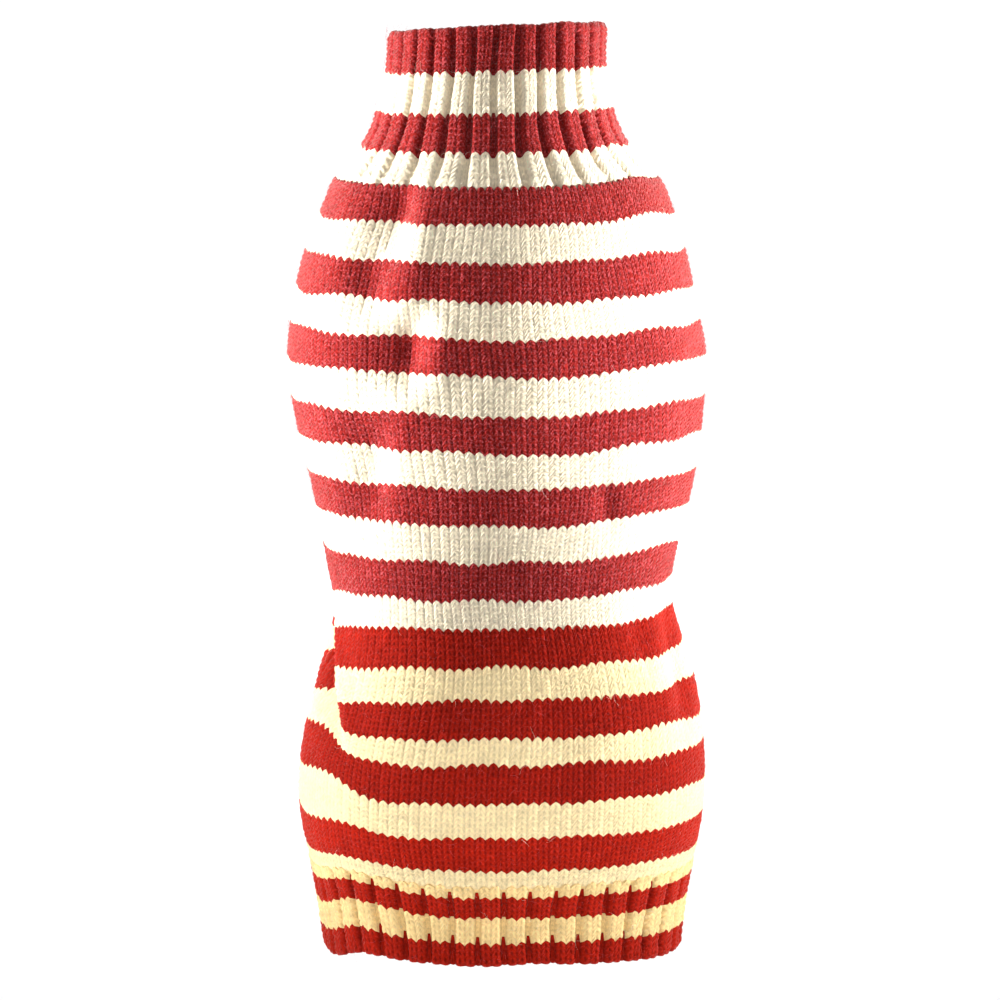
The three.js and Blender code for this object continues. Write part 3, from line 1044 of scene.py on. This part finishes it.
@dataclass
class BodyPanel:
    """Half of the body in stocking stitch, from one side seam to the other."""

    name: str
    first_share: float
    seed: int
    area: float
    flat: tuple[float, float] = (0.212, 0.25)
    wales: int = 56
    wales_round: int = 112
    wall: float = 2.4
    seam_gap: float = 0.06
    seam_tuck: float = 1.4
    tuck_courses: float = 2.0
    side_seam_depth: float = 0.7
    side_relief: float = 0.5
    under_depth: float = 0.9
    under_reach: float = 1.0
    under_flatness: float = 0.8
    held_courses: float = 8.0
    held_wales: float = 4.0
    leg_holes: bool = False
    hole_edge_depth: float = 0.25
    hole_edge_relief: float = 0.3
    chart: StripeChart = BODY_CHART

    def build(self, maker: PieceMaker) -> bpy.types.Object:
        """Knit the panel.

        A place's height is that of its course, raised by the stitch's lean, the lift of the
        courses and the wander. Its depth is less its relief, and grows at the seams.

        Args:
            maker: Form and finishes.

        Returns:
            The panel.
        """
        rng = np.random.default_rng(RANDOM_SEED + self.seed)
        courses = self.chart.courses
        purl = np.zeros(self.wales, dtype=bool)
        relief, lean = maker.relief.fields(
            self.wales, courses, purl, np.zeros(ROWS * courses + 1), rng)
        wale, course = fine_columns(self.wales)[None, :], fine_rows(courses)[:, None]
        self.outer_places = self._places(maker, wale, course, lean)
        side = np.minimum(np.minimum(wale, self.wales - wale), 1.0)
        under = np.clip(1.0 - (courses - course), 0.0, 1.0)
        seam = self.under_depth * under ** 2 + self.side_seam_depth * (1.0 - side) ** 2
        relief = relief * (1.0 - self.under_flatness * under) * (
            self.side_relief + (1.0 - self.side_relief) * side)
        course = np.arange(courses + 1.0)[:, None]
        level, share = self._places(
            maker, np.arange(self.wales + 1.0)[None, :], course, np.zeros((1, 1)))
        tuck = sum(np.clip(1.0 - inwards / self.tuck_courses, 0.0, 1.0)
                   for inwards in (course, courses - course))
        inner_places = (level - self.seam_tuck * tuck, share)
        shell = KnitShell(
            outer=maker.form.place(*self.outer_places, seam - relief),
            inner=maker.form.place(*inner_places, self.wall),
            relief=relief, red=self.chart.by_course("yarn"), lot=self.chart.by_course("lot"),
            wales=self.wales, closed=False)
        if self.leg_holes:
            self._cut_leg_holes(maker, shell, inner_places)
        piece = shell.build(f"{self.name}_knit", maker.materials)
        return maker.hand_over(piece, self.name, self.flat)

    def _places(self, maker: PieceMaker, wale: np.ndarray, course: np.ndarray,
                lean: np.ndarray) -> tuple[np.ndarray, np.ndarray]:
        """Height and way round of each place of the panel.

        Args:
            maker: Form and wander.
            wale: Wale of each place.
            course: Course of each place.
            lean: How far, in courses, it lies above its course's level.

        Returns:
            Heights and shares.
        """
        courses = self.chart.courses
        level = self.chart.heights(course - lean * np.clip(courses - course, 0.0, 1.0))
        level = level - self.under_reach * np.clip(1.0 - (courses - course), 0.0, 1.0)
        girth = np.interp(-level, -maker.form.levels, maker.form.girth)
        half_gap = self.seam_gap / 2.0 / girth
        squeeze = (wale / self.wales - 0.5) * 2.0
        share = self.first_share + wale / self.wales_round - squeeze * half_gap
        rise, drift = maker.wander.fields(share, level)
        hold = np.clip(np.minimum(course, courses - course) / self.held_courses, 0.0, 1.0)
        side_hold = np.clip(np.minimum(wale, self.wales - wale) / self.held_wales, 0.0, 1.0)
        level = level + course_lift(level, share) + rise * hold
        return level, share + drift * hold * side_hold / girth

    def _cut_leg_holes(self, maker: PieceMaker, shell: KnitShell,
                       inner_places: tuple[np.ndarray, np.ndarray]) -> None:
        """Drop the stitches inside each oval and draw the edge of the rest onto it.

        A place on the edge keeps its direction from the oval's centre and moves to the oval's
        line. Its way round is found by a few steps of Newton's rule.

        Args:
            maker: Form and finishes.
            shell: The panel's wall, which is changed.
            inner_places: Height and way round of the wrong side's points.
        """
        middle = maker.form.place(*inner_places)
        middle = (middle[:-1, :-1] + middle[1:, 1:]) / 2.0
        for sign in (-1.0, 1.0):
            across = (middle[..., 0] - sign * LEG_HOLE.x) / LEG_HOLE.half_width
            up = (middle[..., 2] - LEG_HOLE.z) / LEG_HOLE.half_height
            shell.kept &= np.hypot(across, up) > 1.0
        fine = np.repeat(np.repeat(shell.kept, ROWS, axis=0), COLS, axis=1)
        shell.outer, edge = self._draw_edge(
            maker, shell.outer, self.outer_places, fine, self.hole_edge_depth)
        shell.relief = shell.relief * np.where(edge, self.hole_edge_relief, 1.0)
        shell.inner, _ = self._draw_edge(maker, shell.inner, inner_places, shell.kept, self.wall)

    def _draw_edge(self, maker: PieceMaker, points: np.ndarray,
                   places: tuple[np.ndarray, np.ndarray], kept: np.ndarray,
                   depth: float) -> tuple[np.ndarray, np.ndarray]:
        """Move the points between kept and dropped cells onto the ovals.

        Args:
            maker: Form and finishes.
            points: The side's points.
            places: Their height and way round.
            kept: Which cells stay.
            depth: Depth of the edge.

        Returns:
            The points, and which of them are on the edge.
        """
        padded = np.ones((kept.shape[0] + 2, kept.shape[1] + 2), dtype=bool)
        padded[1:-1, 1:-1] = kept
        around = [padded[row:row + kept.shape[0] + 1, column:column + kept.shape[1] + 1]
                  for row in (0, 1) for column in (0, 1)]
        edge = np.any(around, axis=0) & ~np.all(around, axis=0)
        level, share = (np.broadcast_to(value, points.shape[:-1]).copy() for value in places)
        smooth = maker.form.place(level, share)
        sign = np.where(smooth[..., 0] > 0, 1.0, -1.0)
        across = (smooth[..., 0] - sign * LEG_HOLE.x) / LEG_HOLE.half_width
        up = (smooth[..., 2] - LEG_HOLE.z) / LEG_HOLE.half_height
        reach = np.hypot(across, up)
        edge |= (reach < 1.0) & np.any(around, axis=0)
        goal_x = sign * LEG_HOLE.x + across / reach * LEG_HOLE.half_width
        goal_z = LEG_HOLE.z + up / reach * LEG_HOLE.half_height
        rounds, share_step, least_slope = 5, 0.002, 40
        for _ in range(rounds):
            here = maker.form.place(goal_z, share)[..., 0]
            slope = (maker.form.place(goal_z, share + share_step)[..., 0] - here) / share_step
            slope = np.where(np.abs(slope) < least_slope, -least_slope, slope)
            share = share + np.where(edge, (goal_x - here) / slope, 0.0)
        moved = maker.form.place(goal_z, share, depth)
        return np.where(edge[..., None], moved, points), edge


@dataclass
class RibBand:
    """A tube in two-by-one rib, with a rolled edge of bound-off stitches at one end.

    Two knit wales stand out and one purl wale is sunk between them, in a valley told by its half
    width in wales. The cloth thickens and the ribs deepen from the seam to the edge, by the
    onset, as a share of the band's length.
    """

    name: str
    ribs: int
    chart: StripeChart
    seed: int
    rib_depth: float
    seam_wall: float
    edge_wall: float
    wall_onset: float
    rib_onset: float
    edge_on_top: bool
    purl_rise: tuple[float, float]
    flat: tuple[float, float]
    area: float
    side_dip: float = 0.0
    throat_drop: float = 0.0
    rim_tilt: float = 0.0
    seam_tuck: float = 1.4
    tuck_courses: float = 2.0
    under_depth: float = 0.9
    under_reach: float = 1.0
    under_flatness: float = 0.8
    gather: float = 0.2
    valley_half: float = 0.42
    valley_extra: float = 0.8
    valley_shade: float = 0.2
    crown_height: float = 0.25
    edge_fill: float = 0.5
    seam_rib_share: float = 0.4
    held_courses: float = 4.0
    rise_share: float = 0.5
    middle_girth: float = 300.0
    turns: tuple[float, ...] = (0.28, 0.56, 0.86)
    roll_stretch: float = 0.9
    roll_wall_share: float = 0.6
    roll_bumps: tuple[float, ...] = (-0.22, 0.088, 0.22, 0.088)
    roll_least_bump: float = -0.1
    roll_lining: float = 0.35

    def build(self, maker: PieceMaker) -> bpy.types.Object:
        """Knit the band.

        Args:
            maker: Form and finishes.

        Returns:
            The band.
        """
        outer, relief = self._right_side(maker)
        red, lot = (np.pad(self.chart.by_course(what), self._at_edge(1), "edge")
                    for what in ("yarn", "lot"))
        shell = KnitShell(outer=outer, inner=self._wrong_side(maker), relief=relief, red=red,
                          lot=lot, wales=self.ribs * WALES_PER_RIB, closed=True)
        piece = shell.build(f"{self.name}_knit", maker.materials)
        return maker.hand_over(piece, self.name, self.flat)

    def _at_edge(self, rows: int) -> tuple[int, int]:
        """Padding of a number of rows at the free edge."""
        return (rows, 0) if self.edge_on_top else (0, rows)

    def _from_seam(self, course: np.ndarray) -> np.ndarray:
        """Courses from the seam to a place."""
        return self.chart.courses - course if self.edge_on_top else course

    def _wall(self, course: np.ndarray) -> np.ndarray:
        """Thickness of the cloth at a course."""
        along = np.clip(self._from_seam(course) / self.chart.courses, 0.0, 1.0)
        grown = np.minimum(along / self.wall_onset, 1.0)
        return self.seam_wall + (self.edge_wall - self.seam_wall) * grown

    def _right_side(self, maker: PieceMaker) -> tuple[np.ndarray, np.ndarray]:
        """The right side with its rolled edge.

        The depth of a place is the rib's, which is a broad bell round each purl wale, less its
        relief.

        Args:
            maker: Form and wander.

        Returns:
            Points and relief. The relief is lowered further in the valleys, for painted shade
            there.
        """
        wales, courses = self.ribs * WALES_PER_RIB, self.chart.courses
        relief, lean = maker.relief.fields(
            wales, courses, np.arange(wales) % WALES_PER_RIB == 0,
            self._purl_shift(fine_rows(courses)), np.random.default_rng(RANDOM_SEED + self.seed))
        relief, lean = relief[:, :-1], lean[:, :-1]
        wale = self._gathered(fine_columns(wales)[None, :-1])
        course = fine_rows(courses)[:, None]
        share = (wale - FIRST_RIB) / wales
        from_seam = self._from_seam(course)
        from_edge = course if self.edge_on_top else courses - course
        under = np.clip(1.0 - from_seam, 0.0, 1.0) * self.edge_on_top
        lean = lean * np.clip(from_edge, 0.0, 1.0) * (1.0 - under)
        level = self.chart.heights(course - lean) - self.under_reach * under
        along = np.clip(from_seam / courses, 0.0, 1.0) / self.rib_onset
        onset = np.minimum(self.seam_rib_share + (1 - self.seam_rib_share) * along, 1.0)
        away = from_purl(wale)
        valley = np.exp(-((away / self.valley_half) ** 4))
        filled = 1.0 - self.edge_fill * np.clip(1.0 - from_edge, 0.0, 1.0)
        groove = ((self.rib_depth + self.valley_extra) * onset * valley * filled
                  + self.under_depth * under ** 2)
        crown = self.crown_height * (np.minimum(away, 1.5) / 1.5) ** 2
        relief = relief * (1.0 - self.under_flatness * under) + crown * onset * (1.0 - under)
        rise, drift = maker.wander.fields(share, level)
        hold = np.clip(from_seam / self.held_courses, 0.0, 1.0)
        level = level + course_lift(level, share) + self.rise_share * rise * hold
        share = share + drift * hold / self.middle_girth
        outer, relief = self._rolled(maker, level, share, groove, relief, self._wall(course))
        rows = self._at_edge(len(self.turns))
        # Lowering the relief by valley_shade paints shade into the rib valleys, through the yarn's
        # colour.
        return outer, relief - self.valley_shade * np.pad(groove, (rows, (0, 0)), "edge")

    def _wrong_side(self, maker: PieceMaker) -> np.ndarray:
        """Points of the wrong side, tucked past the seam and with one row more at the edge."""
        wales = self.ribs * WALES_PER_RIB
        course = np.arange(self.chart.courses + 1.0)[:, None]
        share = (self._gathered(np.arange(float(wales))[None, :]) - FIRST_RIB) / wales
        level = self.chart.heights(course)
        tuck = np.clip(1.0 - self._from_seam(course) / self.tuck_courses, 0.0, 1.0)
        level = level + course_lift(level, share) - self.seam_tuck * tuck
        level, share, wall = np.broadcast_arrays(level, share, self._wall(course))
        inner = self._dropped(maker.form.place(level, share, wall), level, share)
        inner = np.pad(inner, (self._at_edge(1), (0, 0), (0, 0)), "edge")
        inner[0 if self.edge_on_top else -1, :, 2] += self.roll_lining * (
            1 if self.edge_on_top else -1)
        return inner

    def _purl_shift(self, course: np.ndarray) -> np.ndarray:
        """How far purl wales ride up, at each change to red and at each change to cream."""
        starts = np.cumsum([stripe.courses for stripe in self.chart.stripes])[:-1]
        rises = [self.purl_rise[0] if stripe.yarn is Yarn.RED else self.purl_rise[1]
                 for stripe in self.chart.stripes[1:]]
        return np.interp(course, starts, rises)

    def _gathered(self, wale: np.ndarray) -> np.ndarray:
        """Wales drawn together: the knit ones spread and the purl one between them shrinks."""
        rib = np.floor(wale / WALES_PER_RIB) * WALES_PER_RIB
        return rib + np.interp(wale - rib, [0.0, 1.0, 2.0, 3.0],
                               [self.gather, 1.0 - self.gather, 2.0, 3.0 + self.gather])

    def _dropped(self, points: np.ndarray, level: np.ndarray, share: np.ndarray) -> np.ndarray:
        """Lower the points where the edge dips: at both sides, or at the throat."""
        length = self.chart.stripes[-1].lower_edge - self.chart.top
        far = np.clip((level - self.chart.top) / length, 0.0, 1.0)
        dip = self.side_dip * far * np.sin(2 * np.pi * share) ** 2
        dip = dip + self.throat_drop * (1.0 - far) ** 2 * np.sin(np.pi * share) ** 2
        dip = dip - self.rim_tilt * (1.0 - far) * np.sin(2 * np.pi * share)
        points[..., 2] -= dip
        return points

    def _rolled(self, maker: PieceMaker, level: np.ndarray, share: np.ndarray, groove: np.ndarray,
                relief: np.ndarray, wall: np.ndarray) -> tuple[np.ndarray, np.ndarray]:
        """Points of the right side, with a half circle to the wrong side at the free edge.

        Args:
            maker: Form and finishes.
            level: Height of each place.
            share: Way round of each place.
            groove: Depth of the ribs.
            relief: Relief of the stitches.
            wall: Thickness of the cloth.

        Returns:
            Points and relief, with a row more for each turn.
        """
        level, share, groove, relief, wall = np.broadcast_arrays(level, share, groove, relief, wall)
        edge = slice(0, 1) if self.edge_on_top else slice(-1, None)
        turn = np.pi * np.array(self.turns)[:, None]
        depth = groove[edge]
        radius = (wall[edge] - depth) / 2.0
        outward = 1 if self.edge_on_top else -1
        reach = self.roll_wall_share * wall[edge] / 2.0 + (1.0 - self.roll_wall_share) * radius
        bumps = np.tile(self.roll_bumps, relief.shape[1] // COLS)[None, :] * np.sin(turn)
        roll_level = level[edge] + outward * (
            reach * np.sin(turn) * self.roll_stretch + np.maximum(bumps, self.roll_least_bump))
        roll_depth = depth + radius * (1.0 - np.cos(turn)) - bumps * np.cos(turn)
        roll_share = np.broadcast_to(share[edge], roll_level.shape)
        stack = [(roll_level, roll_share, roll_depth, bumps),
                 (level, share, groove - relief, relief)]
        if self.edge_on_top:
            stack[0] = tuple(value[::-1] for value in stack[0])
        else:
            stack.reverse()
        level, share, depth, relief = (np.concatenate(values, axis=0) for values in zip(*stack))
        return self._dropped(maker.form.place(level, share, depth), level, share), relief


@dataclass
class LegCuff:
    """A short ribbed cuff, picked up round a leg hole and knitted outwards."""

    name: str
    sign: float
    seed: int
    ribs: int = 12
    courses: int = 9
    draw_in: float = 2.2
    reach: float = 17.0
    body_wall: float = 2.4
    wall: float = 2.8
    rib_depth: float = 1.3
    valley_half: float = 0.64
    relief_share: float = 0.8
    root_place: float = 0.2
    root_half: float = 0.1
    root_height: float = 0.9
    root_fill: float = 0.6
    turns: tuple[float, ...] = (0.86, 0.56, 0.28)
    roll_lining: float = 0.3
    flat: tuple[float, float] = (0.135, 0.024)
    area: float = 0.0029

    def build(self, maker: PieceMaker) -> bpy.types.Object:
        """Knit the cuff: an oval ring carried straight out of the belly, drawn in to its end.

        The picked-up stitches make a ridge at its root, and a half circle closes its end.

        Args:
            maker: Form and finishes.

        Returns:
            The cuff.
        """
        wales = self.ribs * WALES_PER_RIB
        relief, lean = maker.relief.fields(
            wales, self.courses, np.arange(wales) % WALES_PER_RIB == 0,
            np.zeros(ROWS * self.courses + 1), np.random.default_rng(RANDOM_SEED + self.seed))
        relief, lean = relief[:, :-1], lean[:, :-1]
        wale = fine_columns(wales)[None, :-1]
        course = fine_rows(self.courses)[:, None]
        free = np.clip(np.minimum(course, self.courses - course), 0.0, 1.0)
        along = 1.0 - (course - lean * free) / self.courses
        valley = self.rib_depth * np.exp(-((from_purl(wale) / self.valley_half) ** 4))
        root = np.exp(-(((along - self.root_place) / self.root_half) ** 2))
        margin = (self.relief_share * relief - valley * (1.0 - self.root_fill * root)
                  + self.root_height * root)
        radius = (self.wall + margin[:1]) / 2.0
        turn = np.pi * np.array(self.turns)[:, None]
        outer = np.concatenate([
            self._points(maker, wale, np.ones((len(turn), 1)),
                         margin[:1] - radius * (1.0 - np.cos(turn)), radius * np.sin(turn)),
            self._points(maker, wale, along, margin, np.zeros((1, 1)))], axis=0)
        relief = np.concatenate([np.zeros((len(turn), relief.shape[1])), relief], axis=0)
        course = np.arange(self.courses + 1.0)[:, None]
        inner = self._points(maker, np.arange(float(wales))[None, :], 1.0 - course / self.courses,
                             np.full((1, 1), -self.wall), np.zeros((1, 1)))
        inner = np.concatenate([inner[:1], inner], axis=0)
        inner[0, :, 1] += self.roll_lining
        shell = KnitShell(
            outer=outer, inner=inner, relief=relief, wales=wales, closed=True,
            red=np.full(self.courses + 1, Yarn.RED.value),
            lot=np.full(self.courses + 1, YarnTone.SHOULDER.value))
        piece = shell.build(f"{self.name}_knit", maker.materials)
        return maker.hand_over(piece, self.name, self.flat)

    def _points(self, maker: PieceMaker, wale: np.ndarray, along: np.ndarray, margin: np.ndarray,
                beyond: np.ndarray) -> np.ndarray:
        """Points of the cuff: round the oval by wale, out along +Y, grown by a margin."""
        wale, along, margin, beyond = np.broadcast_arrays(wale, along, margin, beyond)
        angle = -2.0 * np.pi * (wale - FIRST_RIB) / (self.ribs * WALES_PER_RIB)
        grown = margin - self.draw_in * along
        x = self.sign * LEG_HOLE.x + (LEG_HOLE.half_width + grown) * np.cos(angle)
        z = LEG_HOLE.z + (LEG_HOLE.half_height + grown) * np.sin(angle)
        place = np.array([self.sign * LEG_HOLE.x]), np.array([LEG_HOLE.z])
        end = maker.form.belly_depth(*place)[0] + self.reach
        start = maker.form.belly_depth(x, z) - self.body_wall
        return np.stack([x, start + (end - start) * along + beyond, z], axis=-1)


@dataclass
class LooseFibres:
    """Stray wool fibres over the right side: thin closed spikes, bent along a small arch."""

    form: GarmentForm
    count: int = 6000
    radius: float = 0.028
    shortest: float = 1.5
    longest: float = 6.0
    stand_off: float = 0.8
    root_height: float = 0.1
    arch_start: float = 0.15
    arch_power: float = 0.8
    most_curl: float = 1.2
    thinning: float = 0.6
    steps: int = 4
    seed: int = 77
    lowest: float = -274.0
    highest: float = 53.0
    cuff_clearance: float = 9.0

    def build(self, material: bpy.types.Material) -> bpy.types.Object:
        """Lay the fibres.

        Each runs from a seeded place over the cloth in a seeded direction. Its height is an arch,
        its path curls to one side, and its section is a triangle.

        Args:
            material: Finish of the fibres.

        Returns:
            One object of all the fibres.
        """
        rng = np.random.default_rng(RANDOM_SEED + self.seed)
        z = rng.uniform(self.lowest, self.highest, self.count)
        share = rng.uniform(0.0, 1.0, self.count)
        red, keep = self._yarn_at(z, share)
        z, share, red = z[keep], share[keep], red[keep]
        count = len(z)
        heading = rng.uniform(0.0, 2.0 * np.pi, count)
        length = self.shortest + (self.longest - self.shortest) * rng.power(0.6, count)
        curl = rng.uniform(-self.most_curl, self.most_curl, count)
        off = self.stand_off * rng.uniform(0.3, 1.0, count)
        t = np.linspace(0.0, 1.0, self.steps + 1)[None, :]
        turn = heading[:, None] + curl[:, None] * t
        forward = length[:, None] * t
        girth = np.interp(-z, -self.form.levels, self.form.girth)[:, None]
        arch = (self.arch_start + (1.0 - self.arch_start) * t) ** self.arch_power
        path = self.form.place(
            z[:, None] + forward * np.sin(turn), share[:, None] + forward * np.cos(turn) / girth,
            -(self.root_height + off[:, None] * np.sin(np.pi * arch)))
        tangent = np.gradient(path, axis=1)
        tangent /= np.linalg.norm(tangent, axis=-1, keepdims=True)
        side = np.cross(tangent, rng.normal(size=(count, 1, 3)))
        side /= np.linalg.norm(side, axis=-1, keepdims=True)
        other = np.cross(tangent, side)
        angles = 2.0 * np.pi * np.arange(3) / 3.0
        thin = self.radius * (1.0 - self.thinning * t)[..., None, None]
        cosine, sine = np.cos(angles)[:, None], np.sin(angles)[:, None]
        ring = path[:, :, None, :] + thin * (side[:, :, None, :] * cosine
                                             + other[:, :, None, :] * sine)
        points = ring.reshape(-1, 3)
        per = (self.steps + 1) * 3
        first = (np.arange(count) * per)[:, None, None]
        step = (np.arange(self.steps) * 3)[None, :, None]
        corner = np.arange(3)[None, None, :]
        after = (corner + 1) % 3
        quads = first[..., None] + step[..., None] + np.stack(
            [corner, after, 3 + after, 3 + corner], axis=-1)
        quads = quads.reshape(-1, 4)
        caps = np.concatenate([first[:, 0] + np.array([2, 1, 0]),
                               first[:, 0] + per - 3 + np.array([0, 1, 2])])
        mesh = bpy.data.meshes.new("loose_fibres")
        mesh.from_pydata(points * MM, [], quads.tolist() + caps.tolist())
        marks = np.concatenate([np.repeat(red, self.steps * 3), red, red])
        mesh.attributes.new("red", "FLOAT", "FACE").data.foreach_set(
            "value", marks.astype(np.float32))
        mesh.validate()
        mesh.materials.append(material)
        piece = bpy.data.objects.new("loose_fibres", mesh)
        bpy.context.scene.collection.objects.link(piece)
        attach(piece, "root")
        LOG.info("loose_fibres: %d fibres", count)
        return piece

    def _yarn_at(self, z: np.ndarray, share: np.ndarray) -> tuple[np.ndarray, np.ndarray]:
        """Which yarn each fibre comes from, and which fibres keep clear of the leg cuffs."""
        edges, values = [], []
        for chart in (COLLAR_CHART, BODY_CHART, HEM_CHART):
            edges += [stripe.lower_edge for stripe in chart.stripes]
            values += [stripe.yarn.value for stripe in chart.stripes]
        at = np.searchsorted(-np.array(edges), -(z - course_lift(z, share)))
        red = np.array(values + values[-1:])[at]
        place = self.form.place(z, share)
        leg = np.hypot(
            (np.abs(place[:, 0]) - LEG_HOLE.x) / (LEG_HOLE.half_width + self.cuff_clearance),
            (place[:, 2] - LEG_HOLE.z) / (LEG_HOLE.half_height + self.cuff_clearance))
        return red, (place[:, 1] < 0) | (leg > 1.0)


# ---------------------------------------------------------------- the studio


@dataclass(frozen=True)
class Softbox:
    """A soft light, by its direction from the studio's aim (degrees) and distance (m).

    It is a rectangle that faces its own aim, with a grid where its spread is under 180 degrees,
    or a spot where it has a cone (degrees).
    """

    name: str
    azimuth: float
    elevation: float
    distance: float
    size: tuple[float, float]
    watts: float
    aim: Optional[tuple[float, float, float]] = None
    spread: float = 180.0
    cone: float = 0.0


@dataclass
class Studio:
    """Pale floor, soft light and the camera at the photograph's angle."""

    azimuth: float = -6.0
    elevation: float = 9.0
    distance: float = 1.5
    aim: tuple[float, float, float] = (0.0, 0.0, -0.1163)
    lens: float = 150.0
    sensor: float = 36.0
    floor_z: float = -0.40
    floor_half: float = 1.6
    zenith_light: float = 4.4
    zenith_power: float = 28.0
    horizon_light: float = 1.05
    horizon_band: tuple[float, float] = (0.03, 0.1)
    low_light: float = 0.05
    softboxes: tuple[Softbox, ...] = (
        Softbox("left_softbox", -91.0, 1.4, 3.0, (0.7, 0.15), watts=2.3,
                aim=(0.0, 0.0, -0.045), spread=11.4),
        Softbox("right_softbox", 82.0, 0.9, 3.0, (0.7, 0.15), watts=2.4,
                aim=(0.0, 0.0, -0.055), spread=11.4),
        Softbox("background_softbox", 175.0, 34.0, 2.3, (1.6, 0.9), watts=55.0,
                aim=(0.1, 0.2, -0.4)),
        Softbox("front_fill", -6.0, 2.0, 2.5, (0.4, 0.3), watts=6.0),
        Softbox("hip_fill", -6.0, -4.0, 1.4, (0.06, 0.06), watts=31.0,
                aim=(0.0, 0.0, -0.226), cone=6.5),
    )

    def build(self) -> None:
        """Set the stage, the lights and the camera."""
        self._floor()
        for box in self.softboxes:
            self._softbox(box)
        self._world()
        self._camera()

    def _direction(self, azimuth: float, elevation: float) -> Vector:
        """Direction from the aim: azimuth 0 is in front of the back, 90 is at +X."""
        turn, rise = np.radians(azimuth), np.radians(elevation)
        level = np.cos(rise)
        return Vector((np.sin(turn) * level, -np.cos(turn) * level, np.sin(rise)))

    def _floor(self) -> None:
        """A wide, pale, square floor."""
        half = self.floor_half
        mesh = bpy.data.meshes.new("studio_floor")
        corners = [(-half, -half), (half, -half), (half, half), (-half, half)]
        mesh.from_pydata([(x, y, self.floor_z) for x, y in corners], [], [(0, 1, 2, 3)])
        mesh.materials.append(PaintedPlaster().make())
        floor = bpy.data.objects.new("studio_floor", mesh)
        bpy.context.scene.collection.objects.link(floor)

    def _softbox(self, box: Softbox) -> None:
        """One light that faces its aim: a rectangle, or a spot where a cone (degrees) is given."""
        light = bpy.data.lights.new(box.name, "SPOT" if box.cone else "AREA")
        if box.cone:
            light.shadow_soft_size = box.size[0] / 2.0
            light.spot_size, light.spot_blend = np.radians(box.cone), 1.0
        else:
            light.shape = "RECTANGLE"
            light.size, light.size_y = box.size
            if box.spread < 180.0:
                light.spread = np.radians(box.spread)
        light.energy = box.watts
        lamp = bpy.data.objects.new(box.name, light)
        place = Vector(self.aim) + self._direction(box.azimuth, box.elevation) * box.distance
        lamp.location = place
        towards = place - Vector(box.aim or self.aim)
        lamp.rotation_euler = towards.to_track_quat("Z", "Y").to_euler()
        lamp.visible_camera = False
        bpy.context.scene.collection.objects.link(lamp)

    def _world(self) -> None:
        """Light from a pale ceiling, with a pale horizon that meets the floor unseen.

        The strength at a direction is a high power of its height, and the horizon's own light
        where the height is small. Colours are shown as they are.
        """
        world = bpy.data.worlds.new("studio_world")
        graph = ShaderGraph(world)
        towards = add_node(graph.tree, "ShaderNodeTexCoord").outputs["Generated"]
        height = add_node(graph.tree, "ShaderNodeSeparateXYZ", Vector=towards).outputs["Z"]
        zenith = graph.math("POWER", graph.math("MAXIMUM", height, 0.0), self.zenith_power)
        horizon = graph.ranged(
            height, "SMOOTHSTEP", From_Min=self.horizon_band[0], From_Max=self.horizon_band[1],
            To_Min=self.horizon_light, To_Max=self.low_light)
        strength = graph.math("MULTIPLY_ADD", zenith, self.zenith_light, horizon)
        sky = add_node(graph.tree, "ShaderNodeBackground", Color=linear("#ffffff"),
                       Strength=strength)
        add_node(graph.tree, "ShaderNodeOutputWorld", Surface=sky.outputs[0])
        bpy.context.scene.world = world
        bpy.context.scene.view_settings.view_transform = "Standard"

    def _camera(self) -> None:
        """The camera, at the photograph's angle."""
        data = bpy.data.cameras.new("photo_camera")
        data.lens = self.lens
        data.sensor_width = self.sensor
        camera = bpy.data.objects.new("photo_camera", data)
        direction = self._direction(self.azimuth, self.elevation)
        camera.location = Vector(self.aim) + direction * self.distance
        camera.rotation_euler = direction.to_track_quat("Z", "Y").to_euler()
        bpy.context.scene.collection.objects.link(camera)
        bpy.context.scene.camera = camera


def main() -> None:
    """Build the studio and each piece of the garment, in order."""
    logging.basicConfig(level=logging.INFO, format="%(name)s: %(message)s")
    Studio().build()
    form = GarmentForm(SECTIONS, MAIN_FOLDS + FINE_FOLDS)
    finishes = [WoolYarn("brushed_wool_yarn_hazy", sheen=0.55).make(),
                WoolYarn("brushed_wool_yarn_smooth", sheen=0.16, red_painted_hollow_shade=0.5, red_painted_hole_shade=0.66,
                         cream_painted_hole_shade=0.898, tuft_and_glint_share=0.08, bump=0.5).make(),
                WoolYarn("wool_yarn_wrong_side", sheen=0.2, wrong_side=True).make()]
    maker = PieceMaker(form, StitchRelief(), TensionWander(), finishes)
    RibBand("collar", ribs=30, chart=COLLAR_CHART, seed=1, rib_depth=1.5, seam_wall=2.6,
            edge_wall=3.4, wall_onset=1.0, rib_onset=0.2, edge_on_top=True,
            purl_rise=(0.4, -0.45), flat=(0.33, 0.06), area=0.015, throat_drop=5.0,
            rim_tilt=1.4).build(maker)
    BodyPanel("back_panel", first_share=-0.25, seed=2, area=0.0495).build(maker)
    BodyPanel("belly_panel", first_share=0.25, seed=3, area=0.047, leg_holes=True).build(maker)
    LegCuff("leg_cuff_left", sign=-1.0, seed=4).build(maker)
    LegCuff("leg_cuff_right", sign=1.0, seed=5).build(maker)
    RibBand("hem_band", ribs=42, chart=HEM_CHART, seed=6, rib_depth=1.2, seam_wall=2.4,
            edge_wall=3.2, wall_onset=0.3, rib_onset=0.3, edge_on_top=False,
            purl_rise=(0.9, 0.0), flat=(0.397, 0.034), area=0.0135, side_dip=4.0).build(maker)
    LooseFibres(form).build(LooseWool().make())


if __name__ == "__main__":
    main()
